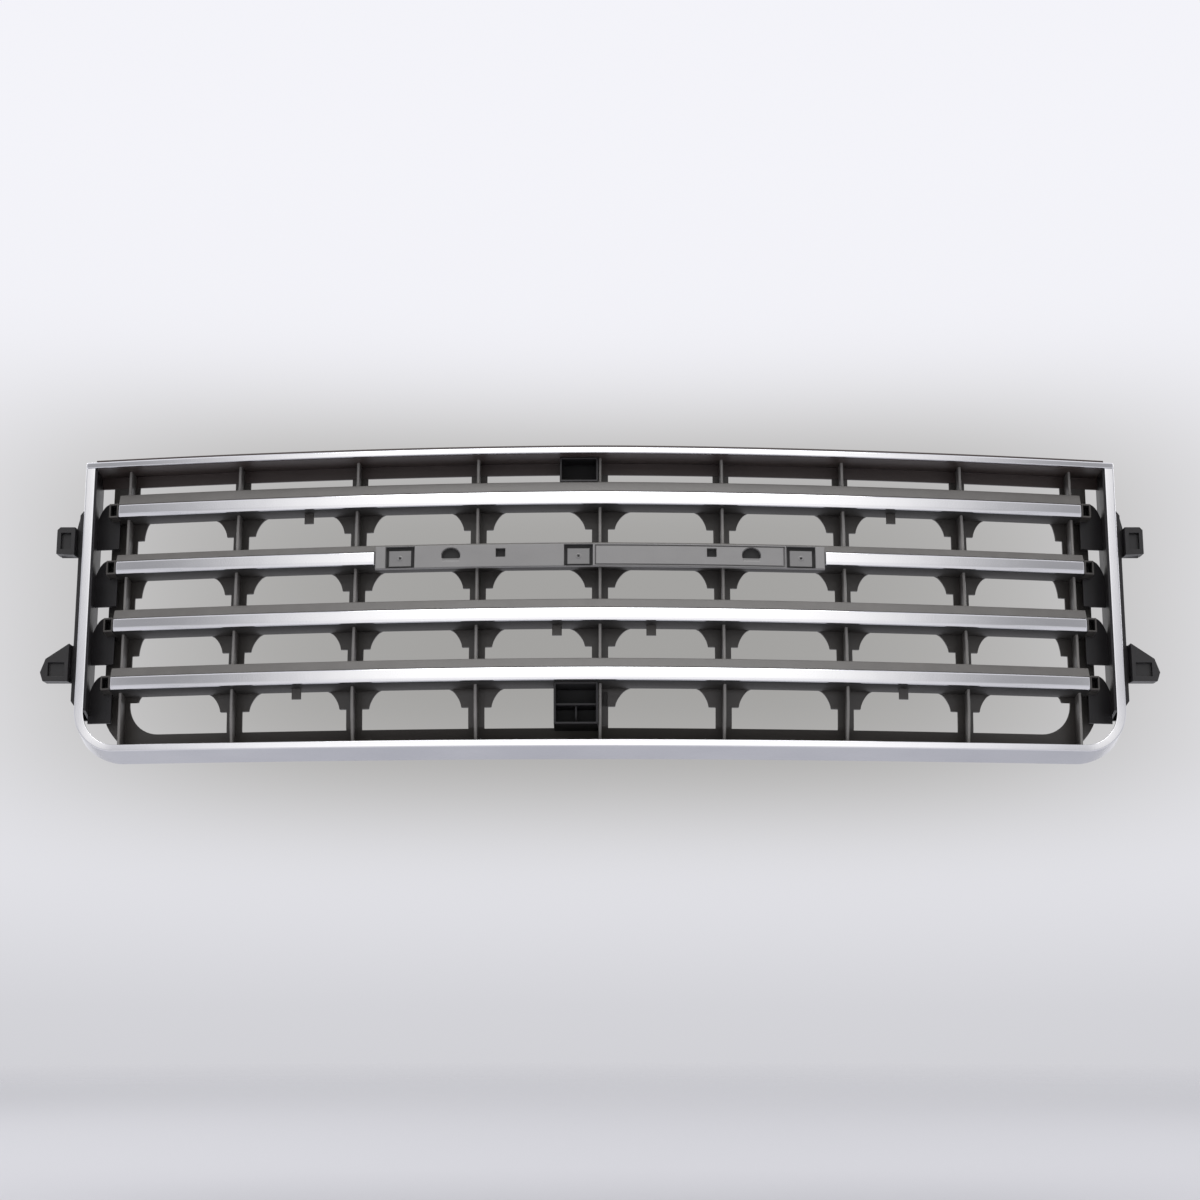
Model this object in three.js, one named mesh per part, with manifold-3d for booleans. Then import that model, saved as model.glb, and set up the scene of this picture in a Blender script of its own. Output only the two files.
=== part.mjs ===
// Front grille of a sport utility vehicle: a bright surround, four bowed bars with bright trims and nine
// upright ribs.
//
// Millimetres. +X is left to right seen from the front, +Y points rearwards, +Z is up, so the
// bright side faces -Y. Every piece of the front is first drawn flat: the front face lies in y = 0, the bottom
// edge in z = 0 and the centre line in x = 0. bent() then gives it the flare and the bow of the vehicle's
// nose. The mounting tabs are made straight in their final places. Last, the origin goes to the middle of
// the box.

import * as THREE from 'three';
import { mergeVertices } from 'three/addons/utils/BufferGeometryUtils.js';
import Module from 'manifold-3d';

const wasm = await Module();
wasm.setup();

// ---- driving dimensions -----------------------------------------------------------------------------

const GAP = 0.3; // clearance between pieces that touch

const HALF_WIDTH = 520.5; // centre line to the outer edge of the surround
const HEIGHT = 295; // surround, bottom edge to top edge
const CORNER_RADIUS = 42; // lower corners of the surround
const RETURN_DEPTH = 48; // how far the surround's outer wall runs back
const SIDE_FACE = 9.5; // width of the surround's bright face at the sides
const BOTTOM_FACE = 7; // the same along the bottom
const TOP_FACE = 6; // the same along the top
const SKIN = 3; // thickness of the bright mouldings
const WALL = 2.5; // thickness of the black and grey mouldings

const BOW_TOP = 60; // how far the nose stands forward of the sides, along the top edge
const BOW_BOTTOM = 74; // the same low down, before the chin tucks in
const BOW_POWER = 1.7; // shape of the bow: 2 is a parabola, 1 is a wedge
const CHIN_TUCK = 30; // how far the bottom edge is drawn back again at the centre
const CHIN_HEIGHT = 60; // height over which the chin is drawn back
const FLARE = 7 / RETURN_DEPTH; // outward slope of the surround's walls towards the rear
const FLARE_START = 490; // the sides flare outside this distance from the centre line

const RIB_PITCH = 121;
const RIB_COUNT = 9;
const END_RIB_X = 478;
const RIB_THICK = 3;
const RIB_FRONT = 20; // front edge of the ribs
const CHORD = RIB_PITCH / 2; // the bow is made of straight chords this wide, one behind every rib

const BAR_COUNT = 4;
const BAR_PITCH = 58.5;
const LOWEST_TRIM_TOP = 76.2;
const TRIM_HEIGHT = 13.2;
const TRIM_HALF_LENGTH = 486;
const TRIM_FRONT = 5.7;
const BAR_FRONT = 9;
const BAR_REAR = 39.5;
const BAR_SHOULDERS = { 1: 11.5, 2: 8.5, 3: 10.5, 4: 10.5 }; // height of each bar's shoulder above its trim
const SHOULDER_SLOPE = 4.5; // how far a shoulder leans back
const BAR_HALF_LENGTH = 496;

const WEB_FRONT = 40; // the gussets and rear walls lie in one layer
const WEB_REAR = 43;
const GUSSET_HEIGHT = 17;
const GUSSET_CURVE = 1.5; // 1 is a straight slope, 2 a quarter ellipse
const GUSSET_FOOT = 15; // half width at the lower end
const GUSSET_HEAD = 27; // half width under a bar
const CENTRE_GUSSET_HEAD = 30;
const RIB_FLANGE = 8; // half width of a rib's rear flange

const CEILING = 288.5; // underside of the header shelf
const HEADER_LIP = 2.5; // how far the header stands above the surround
const HEADER_REAR = 60;
const WINDOW_TOP = 277; // lower edge of the header's rear wall
const RAIL_FLOOR = 3.4;
const RAIL_TOP = 26.5;
const FOOT_RADIUS = 30; // inner curve of the outermost ribs into the bottom rail

const BADGE_HALF_LENGTH = 220.5;
const BADGE_BAR = 2;
const BADGE_HEIGHT = 22.6;
const BADGE_FRONT = 4;

const SIDE_WALL_X = 509;
const SIDE_WALL_BOTTOM = 42;
const FLANGE_FRONT = 48.5;
const FLANGE_REAR = 51.5;
const FLANGE_EDGE = 530;
const FLANGE_CHAMFER = 14; // how far the flange is cut back at its ends
const FLANGE_TOP = HEIGHT - 22;
const FLANGE_BEND = 20; // height of the flange's cut-back ends

// ---- finishes ---------------------------------------------------------------------------------------

function finish(name, color, roughness, metalness) {
  const material = new THREE.MeshStandardMaterial({ color, roughness, metalness });
  material.name = name;
  return material;
}

const CHROME = finish('bright_chrome', 0xdcdde0, 0.12, 1);
const GREY_PLASTIC = finish('grey_plastic', 0x5b5955, 0.6, 0);
const BLACK_PLASTIC = finish('black_plastic', 0x232223, 0.55, 0);
const PLATE_PLASTIC = finish('plate_plastic', 0x8f8c88, 0.6, 0);
const ZINC = finish('zinc_steel', 0xb0b0ac, 0.35, 1);

// ---- solids -----------------------------------------------------------------------------------------

function toSolid(geometry) {
  const bare = geometry.clone();
  bare.deleteAttribute('normal');
  bare.deleteAttribute('uv');
  const merged = mergeVertices(bare, 1e-4);
  return new wasm.Manifold(new wasm.Mesh({
    numProp: 3,
    vertProperties: new Float32Array(merged.attributes.position.array),
    triVerts: new Uint32Array(merged.index.array),
  }));
}

function toGeometry(solid) {
  const { vertProperties, triVerts, numProp } = solid.getMesh();
  const points = new Float32Array(triVerts.length * 3);
  for (let i = 0; i < triVerts.length; i += 1) {
    for (let k = 0; k < 3; k += 1) {
      points[3 * i + k] = vertProperties[triVerts[i] * numProp + k];
    }
  }
  const geometry = new THREE.BufferGeometry();
  geometry.setAttribute('position', new THREE.BufferAttribute(points, 3));
  return geometry;
}

function join(...solids) {
  return solids.reduce((whole, next) => whole.add(next));
}

function cut(solid, ...tools) {
  return tools.reduce((left, tool) => left.subtract(tool), solid);
}

function mirrored(solid) {
  const position = toGeometry(solid).attributes.position;
  const flipped = new Float32Array(position.count * 3);
  for (let i = 0; i < position.count; i += 1) {
    const corner = i - (i % 3) + (2 - (i % 3));
    flipped[3 * i] = -position.getX(corner);
    flipped[3 * i + 1] = position.getY(corner);
    flipped[3 * i + 2] = position.getZ(corner);
  }
  const other = new THREE.BufferGeometry();
  other.setAttribute('position', new THREE.BufferAttribute(flipped, 3));
  return toSolid(other);
}

// ---- flat drawings ----------------------------------------------------------------------------------

function outline(points) {
  return new THREE.Shape(points.map(([u, v]) => new THREE.Vector2(u, v)));
}

// The places across the width where the bow's chords and the flare change direction.
const CREASES = [-HALF_WIDTH, -FLARE_START, FLARE_START, HALF_WIDTH];
for (let x = CHORD / 2; x < HALF_WIDTH; x += CHORD) {
  CREASES.push(-x, x);
}
CREASES.sort((a, b) => a - b);

// A section drawn in (y, z), made into a bar from x0 to x1, with one step for each crease between them.
function drawBar(section, x0, x1) {
  const stops = [x0, ...CREASES.filter((x) => x > x0 + GAP && x < x1 - GAP), x1];
  const steps = stops.length - 1;
  const geometry = new THREE.ExtrudeGeometry(outline(section), { depth: steps, steps, bevelEnabled: false });
  const drawn = geometry.attributes.position;
  for (let i = 0; i < drawn.count; i += 1) {
    drawn.setXYZ(i, stops[Math.round(drawn.getZ(i))], drawn.getX(i), drawn.getY(i));
  }
  return geometry;
}

function drawBlock(x0, x1, y0, y1, z0, z1) {
  return drawBar([[y0, z0], [y1, z0], [y1, z1], [y0, z1]], x0, x1);
}

// A rod along Y.
function drawRod(x, z, radius, y0, y1, sides = 8) {
  const cylinder = new THREE.CylinderGeometry(radius, radius, y1 - y0, sides);
  cylinder.translate(x, (y0 + y1) / 2, z);
  return cylinder;
}

// The points of a closed outline, with one more wherever its sides cross a crease.
function creased(points) {
  return points.flatMap((a, i) => {
    const b = points[(i + 1) % points.length];
    const crossed = CREASES.filter((x) => (x - a.x) * (x - b.x) < -1e-6);
    if (b.x < a.x) {
      crossed.reverse();
    }
    return [a, ...crossed.map((x) => a.clone().lerp(b, (x - a.x) / (b.x - a.x)))];
  });
}

// A shape drawn in (x, z), made into a plate from y0 to y1.
function drawPlate(shape, y0, y1) {
  const drawn = new THREE.Shape(creased(shape.extractPoints(6).shape));
  const geometry = new THREE.ExtrudeGeometry(drawn, { depth: y1 - y0, bevelEnabled: false });
  geometry.rotateX(Math.PI / 2);
  geometry.translate(0, y1, 0);
  return geometry;
}

// ---- the shape of the nose --------------------------------------------------------------------------

// The value of f between two of its points that are a step apart, on the straight line between them.
function alongChords(value, first, step, f) {
  const low = first + Math.floor((value - first) / step) * step;
  const part = (value - low) / step;
  return f(low) * (1 - part) + f(low + step) * part;
}

function chinTuck(z) {
  const above = Math.min(Math.max(z / CHIN_HEIGHT, 0), 1);
  return CHIN_TUCK * (1 - above) ** 2;
}

function bow(x, z) {
  const across = (s) => Math.max(0, 1 - (Math.abs(s) / HALF_WIDTH) ** BOW_POWER);
  const full = BOW_BOTTOM - (BOW_BOTTOM - BOW_TOP) * (z / HEIGHT);
  const tuck = z < CHIN_HEIGHT ? alongChords(z, 0, CHIN_HEIGHT / 2, chinTuck) : 0;
  return (full - tuck) * alongChords(x, CHORD / 2, CHORD, across);
}

// Where a point of the flat drawing goes: the lower and outer walls flare, then everything follows the bow.
function bodyPoint(point) {
  const { x, y, z } = point;
  const outside = Math.min(Math.max((Math.abs(x) - FLARE_START) / (HALF_WIDTH - FLARE_START), 0), 1);
  point.x = x + Math.sign(x) * FLARE * y * outside;
  point.z = z - FLARE * y * (1 - z / HEIGHT);
  point.y = y - bow(x, z);
  return point;
}

// Cuts every triangle where one coordinate equals level, so that the triangles can follow a bend there.
function sliceTriangles(triangles, axis, level) {
  const sliced = [];
  for (const triangle of triangles) {
    const sides = triangle.map((p) => {
      const over = p.getComponent(axis) - level;
      return Math.abs(over) < 1e-4 ? 0 : Math.sign(over);
    });
    if (!sides.includes(1) || !sides.includes(-1)) {
      sliced.push(triangle);
      continue;
    }
    const below = [];
    const above = [];
    for (let i = 0; i < 3; i += 1) {
      const a = triangle[i];
      const b = triangle[(i + 1) % 3];
      if (sides[i] <= 0) {
        below.push(a);
      }
      if (sides[i] >= 0) {
        above.push(a);
      }
      if (sides[i] * sides[(i + 1) % 3] < 0) {
        const t = (level - a.getComponent(axis)) / (b.getComponent(axis) - a.getComponent(axis));
        const crossing = a.clone().lerp(b, t).setComponent(axis, level);
        below.push(crossing);
        above.push(crossing);
      }
    }
    for (const face of [below, above]) {
      for (let i = 1; i + 1 < face.length; i += 1) {
        sliced.push([face[0], face[i], face[i + 1]]);
      }
    }
  }
  return sliced;
}

// A flat drawing given the shape of the nose.
function bent(drawing) {
  const position = (drawing.index ? drawing.toNonIndexed() : drawing).attributes.position;
  let triangles = [];
  for (let i = 0; i < position.count; i += 3) {
    triangles.push([0, 1, 2].map((k) => new THREE.Vector3().fromBufferAttribute(position, i + k)));
  }
  for (const x of CREASES) {
    triangles = sliceTriangles(triangles, 0, x);
  }
  for (const z of [CHIN_HEIGHT / 2, CHIN_HEIGHT]) {
    triangles = sliceTriangles(triangles, 2, z);
  }
  return toSolid(new THREE.BufferGeometry().setFromPoints(triangles.flat().map((p) => bodyPoint(p.clone()))));
}

const barOf = (section, x0, x1) => bent(drawBar(section, x0, x1));
const block = (...box) => bent(drawBlock(...box));
const rod = (...size) => bent(drawRod(...size));
const plate = (shape, y0, y1) => bent(drawPlate(shape, y0, y1));

// The mounting tabs stay straight.
const straightBlock = (...box) => toSolid(drawBlock(...box));
const straightRod = (...size) => toSolid(drawRod(...size));
const straightPlate = (shape, y0, y1) => toSolid(drawPlate(shape, y0, y1));

const grille = new THREE.Group();

function addPiece(name, solid, material) {
  const mesh = new THREE.Mesh(toGeometry(solid), material);
  mesh.name = name;
  grille.add(mesh);
  return mesh;
}

// ---- places -----------------------------------------------------------------------------------------

// Bar 1 is the top one.
function trimTop(bar) {
  return LOWEST_TRIM_TOP + (BAR_COUNT - bar) * BAR_PITCH;
}

function trimBottom(bar) {
  return trimTop(bar) - TRIM_HEIGHT;
}

function shoulderTop(bar) {
  return trimTop(bar) + BAR_SHOULDERS[bar];
}

const BARS = Array.from({ length: BAR_COUNT }, (_, i) => i + 1);

function ribX(rib) {
  const fromCentre = rib - (RIB_COUNT + 1) / 2;
  const outermost = rib === 1 || rib === RIB_COUNT;
  return outermost ? Math.sign(fromCentre) * END_RIB_X : fromCentre * RIB_PITCH;
}

const RIBS = Array.from({ length: RIB_COUNT }, (_, i) => i + 1);

// Screws that hold the trims and the badge plate to the bars: distance from the centre line.
const LONG_TRIM_SCREWS = [-420, 30, 420];
const SHORT_TRIM_SCREWS = [270, 440];
const BADGE_SCREWS = [-178, 30, 178];

function screwPlaces(bar) {
  if (bar !== BADGE_BAR) {
    return LONG_TRIM_SCREWS;
  }
  return [...SHORT_TRIM_SCREWS.map((x) => -x), ...BADGE_SCREWS, ...SHORT_TRIM_SCREWS];
}

// ---- surround ---------------------------------------------------------------------------------------

const CORNER_X = HALF_WIDTH - CORNER_RADIUS; // where the lower corners begin

// The right-hand outline from the bottom up round the corner, drawn inwards by the given amounts.
function cornerLine(sideInset, bottomInset) {
  const x = HALF_WIDTH - sideInset;
  const radius = CORNER_RADIUS - Math.max(sideInset, bottomInset);
  const path = new THREE.Path();
  path.moveTo(CORNER_X - 1, bottomInset);
  path.absarc(x - radius, bottomInset + radius, radius, 1.5 * Math.PI, 2 * Math.PI, false);
  path.lineTo(x, HEIGHT);
  return path.getPoints(7);
}

// A band along the outline, so wide at the side and along the bottom, between two depths.
function surroundBand(sideWidth, bottomWidth, y0, y1) {
  const shape = new THREE.Shape([...cornerLine(0, 0), ...cornerLine(sideWidth, bottomWidth).reverse()]);
  const right = plate(shape, y0, y1);
  return join(block(-CORNER_X, CORNER_X, y0, y1, 0, bottomWidth), right, mirrored(right));
}

function surroundMoulding() {
  const face = surroundBand(SIDE_FACE, BOTTOM_FACE, 0, SKIN);
  const returnWall = surroundBand(SKIN, SKIN, SKIN / 2, RETURN_DEPTH);
  const overlapped = block(CORNER_X, HALF_WIDTH + 1, -1, SKIN + GAP, HEIGHT - TOP_FACE - GAP, HEIGHT + 1);
  return cut(join(face, returnWall), overlapped, mirrored(overlapped));
}

// The bright strip along the top laps over the upper ends of the surround.
function topMoulding() {
  const chamfer = 1;
  return barOf([
    [chamfer, HEIGHT],
    [0, HEIGHT - chamfer],
    [0, HEIGHT - TOP_FACE],
    [SKIN, HEIGHT - TOP_FACE],
    [SKIN, HEIGHT],
  ], -HALF_WIDTH, HALF_WIDTH);
}

// ---- black frame ------------------------------------------------------------------------------------

function headerRail() {
  const half = SIDE_WALL_X - GAP;
  const front = SKIN + GAP;
  const shelf = CEILING + WALL;
  const lip = HEIGHT + HEADER_LIP;
  return barOf([
    [front, CEILING],
    [front, lip],
    [front + WALL, lip],
    [front + WALL, shelf],
    [HEADER_REAR, shelf],
    [HEADER_REAR, CEILING],
    [WEB_REAR, CEILING],
    [WEB_REAR, WINDOW_TOP],
    [WEB_FRONT, WINDOW_TOP],
    [WEB_FRONT, CEILING],
  ].reverse(), -half, half);
}

const END_RIB_INNER = 6; // half widths of an outermost rib's rear strip, inwards and outwards
const END_RIB_OUTER = 20;
const FOOT_DROP = 18; // height of that strip where it meets the bottom rail
const FOOT_X = END_RIB_X - END_RIB_INNER - FOOT_RADIUS;

function bottomRail() {
  const floor = barOf([
    [SKIN + GAP, RAIL_FLOOR],
    [RETURN_DEPTH, RAIL_FLOOR],
    [RETURN_DEPTH, RAIL_FLOOR + WALL],
    [SKIN + GAP, RAIL_FLOOR + WALL],
  ], -HALF_WIDTH + CORNER_RADIUS, HALF_WIDTH - CORNER_RADIUS);
  const rearWall = block(-FOOT_X, FOOT_X, WEB_FRONT, WEB_REAR, RAIL_FLOOR + WALL / 2, RAIL_TOP);
  return join(floor, rearWall);
}

const ARM_FRONT = 26; // the arms between the side walls and the bar ends
const ARM_REAR = 29;
const ARM_DROP = 28; // how far an arm reaches below its bar
const ARM_RISE = 6; // and above the top of its trim
const ARM_FALL = 18; // drop of its curved upper edge
const ARM_UNDER = 8; // how far it reaches in under the bar

function barArm(bar) {
  const inner = BAR_HALF_LENGTH + GAP;
  const outer = SIDE_WALL_X + WALL / 2;
  const top = trimTop(bar) + ARM_RISE;
  const under = trimBottom(bar) - 2 * GAP;
  const low = trimBottom(bar) - ARM_DROP;
  const shape = new THREE.Shape();
  shape.moveTo(inner - ARM_UNDER, low);
  shape.lineTo(outer, low);
  shape.lineTo(outer, top - ARM_FALL);
  shape.quadraticCurveTo(outer, top - ARM_FALL / 6, inner, top);
  shape.lineTo(inner, under);
  shape.lineTo(inner - ARM_UNDER, under);
  return plate(shape, ARM_FRONT, ARM_REAR);
}

// The right-hand side wall: the wall beside the lattice, a rear flange and four arms to the bar ends.
function sideWall() {
  const seam = SIDE_WALL_X + WALL / 2;
  const wall = block(SIDE_WALL_X, SIDE_WALL_X + WALL, SKIN + GAP, FLANGE_FRONT + 1, SIDE_WALL_BOTTOM, CEILING);
  const cutBack = FLANGE_EDGE - FLANGE_CHAMFER;
  const low = SIDE_WALL_BOTTOM + 2;
  const flange = plate(outline([
    [seam, low],
    [cutBack, low],
    [FLANGE_EDGE, low + FLANGE_BEND],
    [FLANGE_EDGE, FLANGE_TOP - FLANGE_BEND],
    [cutBack, FLANGE_TOP],
    [seam, CEILING - 2],
  ]), FLANGE_FRONT, FLANGE_REAR);
  return join(wall, flange, ...BARS.map(barArm));
}

// ---- bars and trims ---------------------------------------------------------------------------------

const BOSS_RADIUS = 3;
const SCREW_RADIUS = 1.2;

const LEDGE_RISE = 0.8; // the foot of a shoulder, just above and behind the trim
const LEDGE_DEPTH = 1.5;
const END_HOLE_WIDTH = 5;
const END_HOLE_HEIGHT = 7;
const END_HOLE_X = BAR_HALF_LENGTH - 5;

// Open-backed channel: front wall behind the trim, sloping shoulder above it, top and bottom flanges.
function barChannel(bar) {
  const top = trimTop(bar);
  const bottom = trimBottom(bar);
  const over = shoulderTop(bar);
  const ledge = BAR_FRONT + LEDGE_DEPTH;
  return barOf([
    [BAR_FRONT, bottom],
    [BAR_REAR, bottom],
    [BAR_REAR, bottom + WALL],
    [BAR_FRONT + WALL, bottom + WALL],
    [BAR_FRONT + WALL, top - LEDGE_RISE],
    [ledge + SHOULDER_SLOPE + WALL, over - WALL],
    [BAR_REAR, over - WALL],
    [BAR_REAR, over],
    [ledge + SHOULDER_SLOPE, over],
    [ledge, top + LEDGE_RISE],
    [BAR_FRONT, top],
  ], -BAR_HALF_LENGTH, BAR_HALF_LENGTH);
}

// Small square tabs under some of the bars, left and right: distance from the centre line.
const LOCATING_TABS = { 1: [-291, 291], 3: [-42, 50], 4: [-298, 298] };
const LOCATING_TAB_WIDTH = 9.5;
const LOCATING_TAB_DROP = 10;
const LOCATING_TAB_FRONT = 24;

function locatingTab(bar, x) {
  const half = LOCATING_TAB_WIDTH / 2;
  const bottom = trimBottom(bar);
  const depth = [LOCATING_TAB_FRONT, LOCATING_TAB_FRONT + WALL];
  return block(x - half, x + half, ...depth, bottom - LOCATING_TAB_DROP, bottom - GAP);
}

// A bar with the holes for its trims' bosses and a square hole near each end.
function crossBar(bar) {
  const middle = (trimTop(bar) + trimBottom(bar)) / 2;
  const through = [BAR_FRONT - 1, BAR_FRONT + WALL + 1];
  const bossHoles = screwPlaces(bar).map((x) => rod(x, middle, BOSS_RADIUS + GAP, ...through));
  const across = [END_HOLE_X - END_HOLE_WIDTH / 2, END_HOLE_X + END_HOLE_WIDTH / 2];
  const endHole = block(...across, ...through, middle - END_HOLE_HEIGHT / 2, middle + END_HOLE_HEIGHT / 2);
  return cut(barChannel(bar), ...bossHoles, endHole, mirrored(endHole));
}

const UPPER_BEVEL = 1.4; // height of the slope along a trim's upper edge
const LOWER_BEVEL = 3; // and along its lower edge
const BEVEL_DEPTH = 1.5;
const TRIM_LEAN = 0.3; // how far the face leans back at its upper edge

function trimSection(bar) {
  const top = trimTop(bar);
  const bottom = trimBottom(bar);
  const rear = BAR_FRONT - GAP;
  return [
    [rear, bottom],
    [rear, top],
    [TRIM_FRONT + BEVEL_DEPTH, top],
    [TRIM_FRONT + TRIM_LEAN, top - UPPER_BEVEL],
    [TRIM_FRONT, bottom + LOWER_BEVEL],
    [TRIM_FRONT + BEVEL_DEPTH, bottom],
  ].reverse();
}

const BOSS_HOLE_RADIUS = 1.9;
const TRIM_HOLE_FRONT = TRIM_FRONT + 1.5; // blind end of a trim's screw holes
const BADGE_HOLE_FRONT = BADGE_FRONT + 2.6;

// A boss on the back of a trim, with the blind hole of its screw.
function addBoss(solid, bar, x, front) {
  const middle = (trimTop(bar) + trimBottom(bar)) / 2;
  const boss = rod(x, middle, BOSS_RADIUS, BAR_FRONT - 1, BAR_FRONT + WALL - GAP);
  const hole = rod(x, middle, BOSS_HOLE_RADIUS, front, BAR_FRONT + WALL + 1);
  return cut(join(solid, boss), hole);
}

function brightTrim(bar, x0, x1, screws) {
  const strip = barOf(trimSection(bar), x0, x1);
  return screws.reduce((solid, x) => addBoss(solid, bar, x, TRIM_HOLE_FRONT), strip);
}

const SCREW_SEAT = BAR_FRONT + WALL + 2 * GAP;
const SCREW_HEAD_RADIUS = 3.8;
const TIP_CLEARANCE = 1.2; // from a screw's tip to the end of its hole
const HEAD_RIM = 1.4; // height of the rim of a screw's head, and of the whole head
const HEAD_HEIGHT = 2.4;

// Pan-head self-tapping screw along Y, tip at y = 0 and the underside of its head at y = grip.
function panHeadScrew(grip, shankRadius, headRadius) {
  const shank = straightRod(0, 0, shankRadius, 0, grip + 1, 6);
  const rim = straightRod(0, 0, headRadius, grip, grip + HEAD_RIM);
  const crown = straightRod(0, 0, 0.75 * headRadius, grip + 1, grip + HEAD_HEIGHT);
  return join(shank, rim, crown);
}

// A screw seated on the back of a bar's front wall, turned to stand square to the bow.
function addBarScrew(name, bar, x, holeFront) {
  const middle = (trimTop(bar) + trimBottom(bar)) / 2;
  const tip = holeFront + TIP_CLEARANCE;
  const [left, right] = [-1, 1].map((dx) => bodyPoint(new THREE.Vector3(x + dx, tip, middle)));
  const mesh = addPiece(name, panHeadScrew(SCREW_SEAT - tip, SCREW_RADIUS, SCREW_HEAD_RADIUS), ZINC);
  mesh.position.copy(bodyPoint(new THREE.Vector3(x, tip, middle)));
  mesh.rotation.z = Math.atan2(right.y - left.y, right.x - left.x);
}

// ---- badge plate ------------------------------------------------------------------------------------

const BADGE_REAR = BAR_FRONT - GAP;
const BADGE_POCKETS = [-196, -21, 197];
const BADGE_ARCHES = [-146, 148];
const BADGE_SQUARES = [-97, 109];

const BADGE_DROP = 0.5; // how far the plate sits below the middle of its bar
const POCKET_HALF_WIDTH = 14;
const PAD_HALF_WIDTH = 11.5;
const POCKET_DEPTH = 2.4;
const POCKET_RIM = 0.8; // the edge left above and below a pocket
const PAD_RISE = 1.4;
const PAD_SILL = 1; // the channel below a pad, and above it
const PAD_LINTEL = 2.6;
const PIN_HOLE_RADIUS = 2;
const ARCH_HALF_WIDTH = 9;
const ARCH_RISE = 8;
const ARCH_SILL = 2.5; // the straight sides below the curve
const SQUARE_SIZE = 9;

// A half-round hole with a flat lower side.
function archHole(x, z, y0, y1) {
  const shape = new THREE.Shape();
  shape.moveTo(x + ARCH_HALF_WIDTH, z - ARCH_SILL);
  shape.lineTo(x + ARCH_HALF_WIDTH, z);
  shape.absellipse(x, z, ARCH_HALF_WIDTH, ARCH_RISE, 0, Math.PI, false, 0);
  shape.lineTo(x - ARCH_HALF_WIDTH, z - ARCH_SILL);
  return plate(shape, y0, y1);
}

function badgePlate() {
  const middle = (trimTop(BADGE_BAR) + trimBottom(BADGE_BAR)) / 2 - BADGE_DROP;
  const z0 = middle - BADGE_HEIGHT / 2;
  const z1 = middle + BADGE_HEIGHT / 2;
  const floor = BADGE_FRONT + POCKET_DEPTH;
  const low = z0 + POCKET_RIM;
  const high = z1 - POCKET_RIM;
  const through = [BADGE_FRONT - 1, BADGE_REAR + 1];
  const body = block(-BADGE_HALF_LENGTH, BADGE_HALF_LENGTH, BADGE_FRONT, BADGE_REAR, z0, z1);
  const pockets = BADGE_POCKETS.map((x) => (
    block(x - POCKET_HALF_WIDTH, x + POCKET_HALF_WIDTH, BADGE_FRONT - 1, floor, low, high)
  ));
  const padHeights = [low + PAD_SILL, high - PAD_LINTEL];
  const pads = BADGE_POCKETS.map((x) => (
    block(x - PAD_HALF_WIDTH, x + PAD_HALF_WIDTH, floor - PAD_RISE, floor + 1, ...padHeights)
  ));
  const pinHoles = BADGE_POCKETS.map((x) => rod(x, middle - 1, PIN_HOLE_RADIUS, BADGE_FRONT, floor + 1));
  const arches = BADGE_ARCHES.map((x) => archHole(x, middle + 1, ...through));
  const squares = BADGE_SQUARES.map((x) => (
    block(x - SQUARE_SIZE / 2, x + SQUARE_SIZE / 2, ...through, middle - 1, middle - 1 + SQUARE_SIZE)
  ));
  const tray = cut(join(cut(body, ...pockets), ...pads), ...pinHoles, ...arches, ...squares);
  return BADGE_SCREWS.reduce((solid, x) => addBoss(solid, BADGE_BAR, x, BADGE_HOLE_FRONT), tray);
}

// ---- ribs -------------------------------------------------------------------------------------------

// One side of a rib's rear flange from top to bottom: a narrow strip that widens into a gusset under each bar.
function flangeEdge(head) {
  const points = [[RIB_FLANGE, WINDOW_TOP - GAP]];
  for (const bar of BARS) {
    const foot = trimBottom(bar) + 1 - GUSSET_HEIGHT;
    points.push([RIB_FLANGE, shoulderTop(bar) - 1]);
    points.push([head, shoulderTop(bar) - 1]);
    for (const share of [1, 0.8, 0.45, 0]) {
      const out = 1 - (1 - share ** GUSSET_CURVE) ** (1 / GUSSET_CURVE);
      points.push([GUSSET_FOOT + (head - GUSSET_FOOT) * out, foot + share * GUSSET_HEIGHT]);
    }
    points.push([RIB_FLANGE, foot]);
  }
  points.push([RIB_FLANGE, RAIL_TOP + GAP]);
  return points;
}

// The same for the outer side of an outermost rib: a plain strip that curves inwards at its foot.
function outerEdge() {
  const outer = END_RIB_OUTER;
  const low = RAIL_TOP - FOOT_DROP;
  const radius = FOOT_RADIUS + END_RIB_OUTER - END_RIB_INNER;
  const foot = new THREE.Path();
  foot.moveTo(outer, WINDOW_TOP - GAP);
  foot.lineTo(outer, low + radius);
  foot.absarc(outer - radius, low + radius, radius, 0, -Math.PI / 2, true);
  foot.lineTo(FOOT_X + GAP - END_RIB_X, low);
  foot.lineTo(FOOT_X + GAP - END_RIB_X, RAIL_TOP - 1);
  return foot.getPoints(6).map((p) => [p.x, p.y]);
}

// The inner side of an outermost rib ends in a curve of FOOT_RADIUS that runs into the bottom rail.
function innerFoot() {
  const foot = new THREE.Path();
  foot.moveTo(-END_RIB_INNER, RAIL_TOP + FOOT_RADIUS);
  foot.absarc(-END_RIB_INNER - FOOT_RADIUS, RAIL_TOP + FOOT_RADIUS, FOOT_RADIUS, 0, -Math.PI / 2, true);
  return foot.getPoints(6).map((p) => [p.x, p.y]);
}

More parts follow.
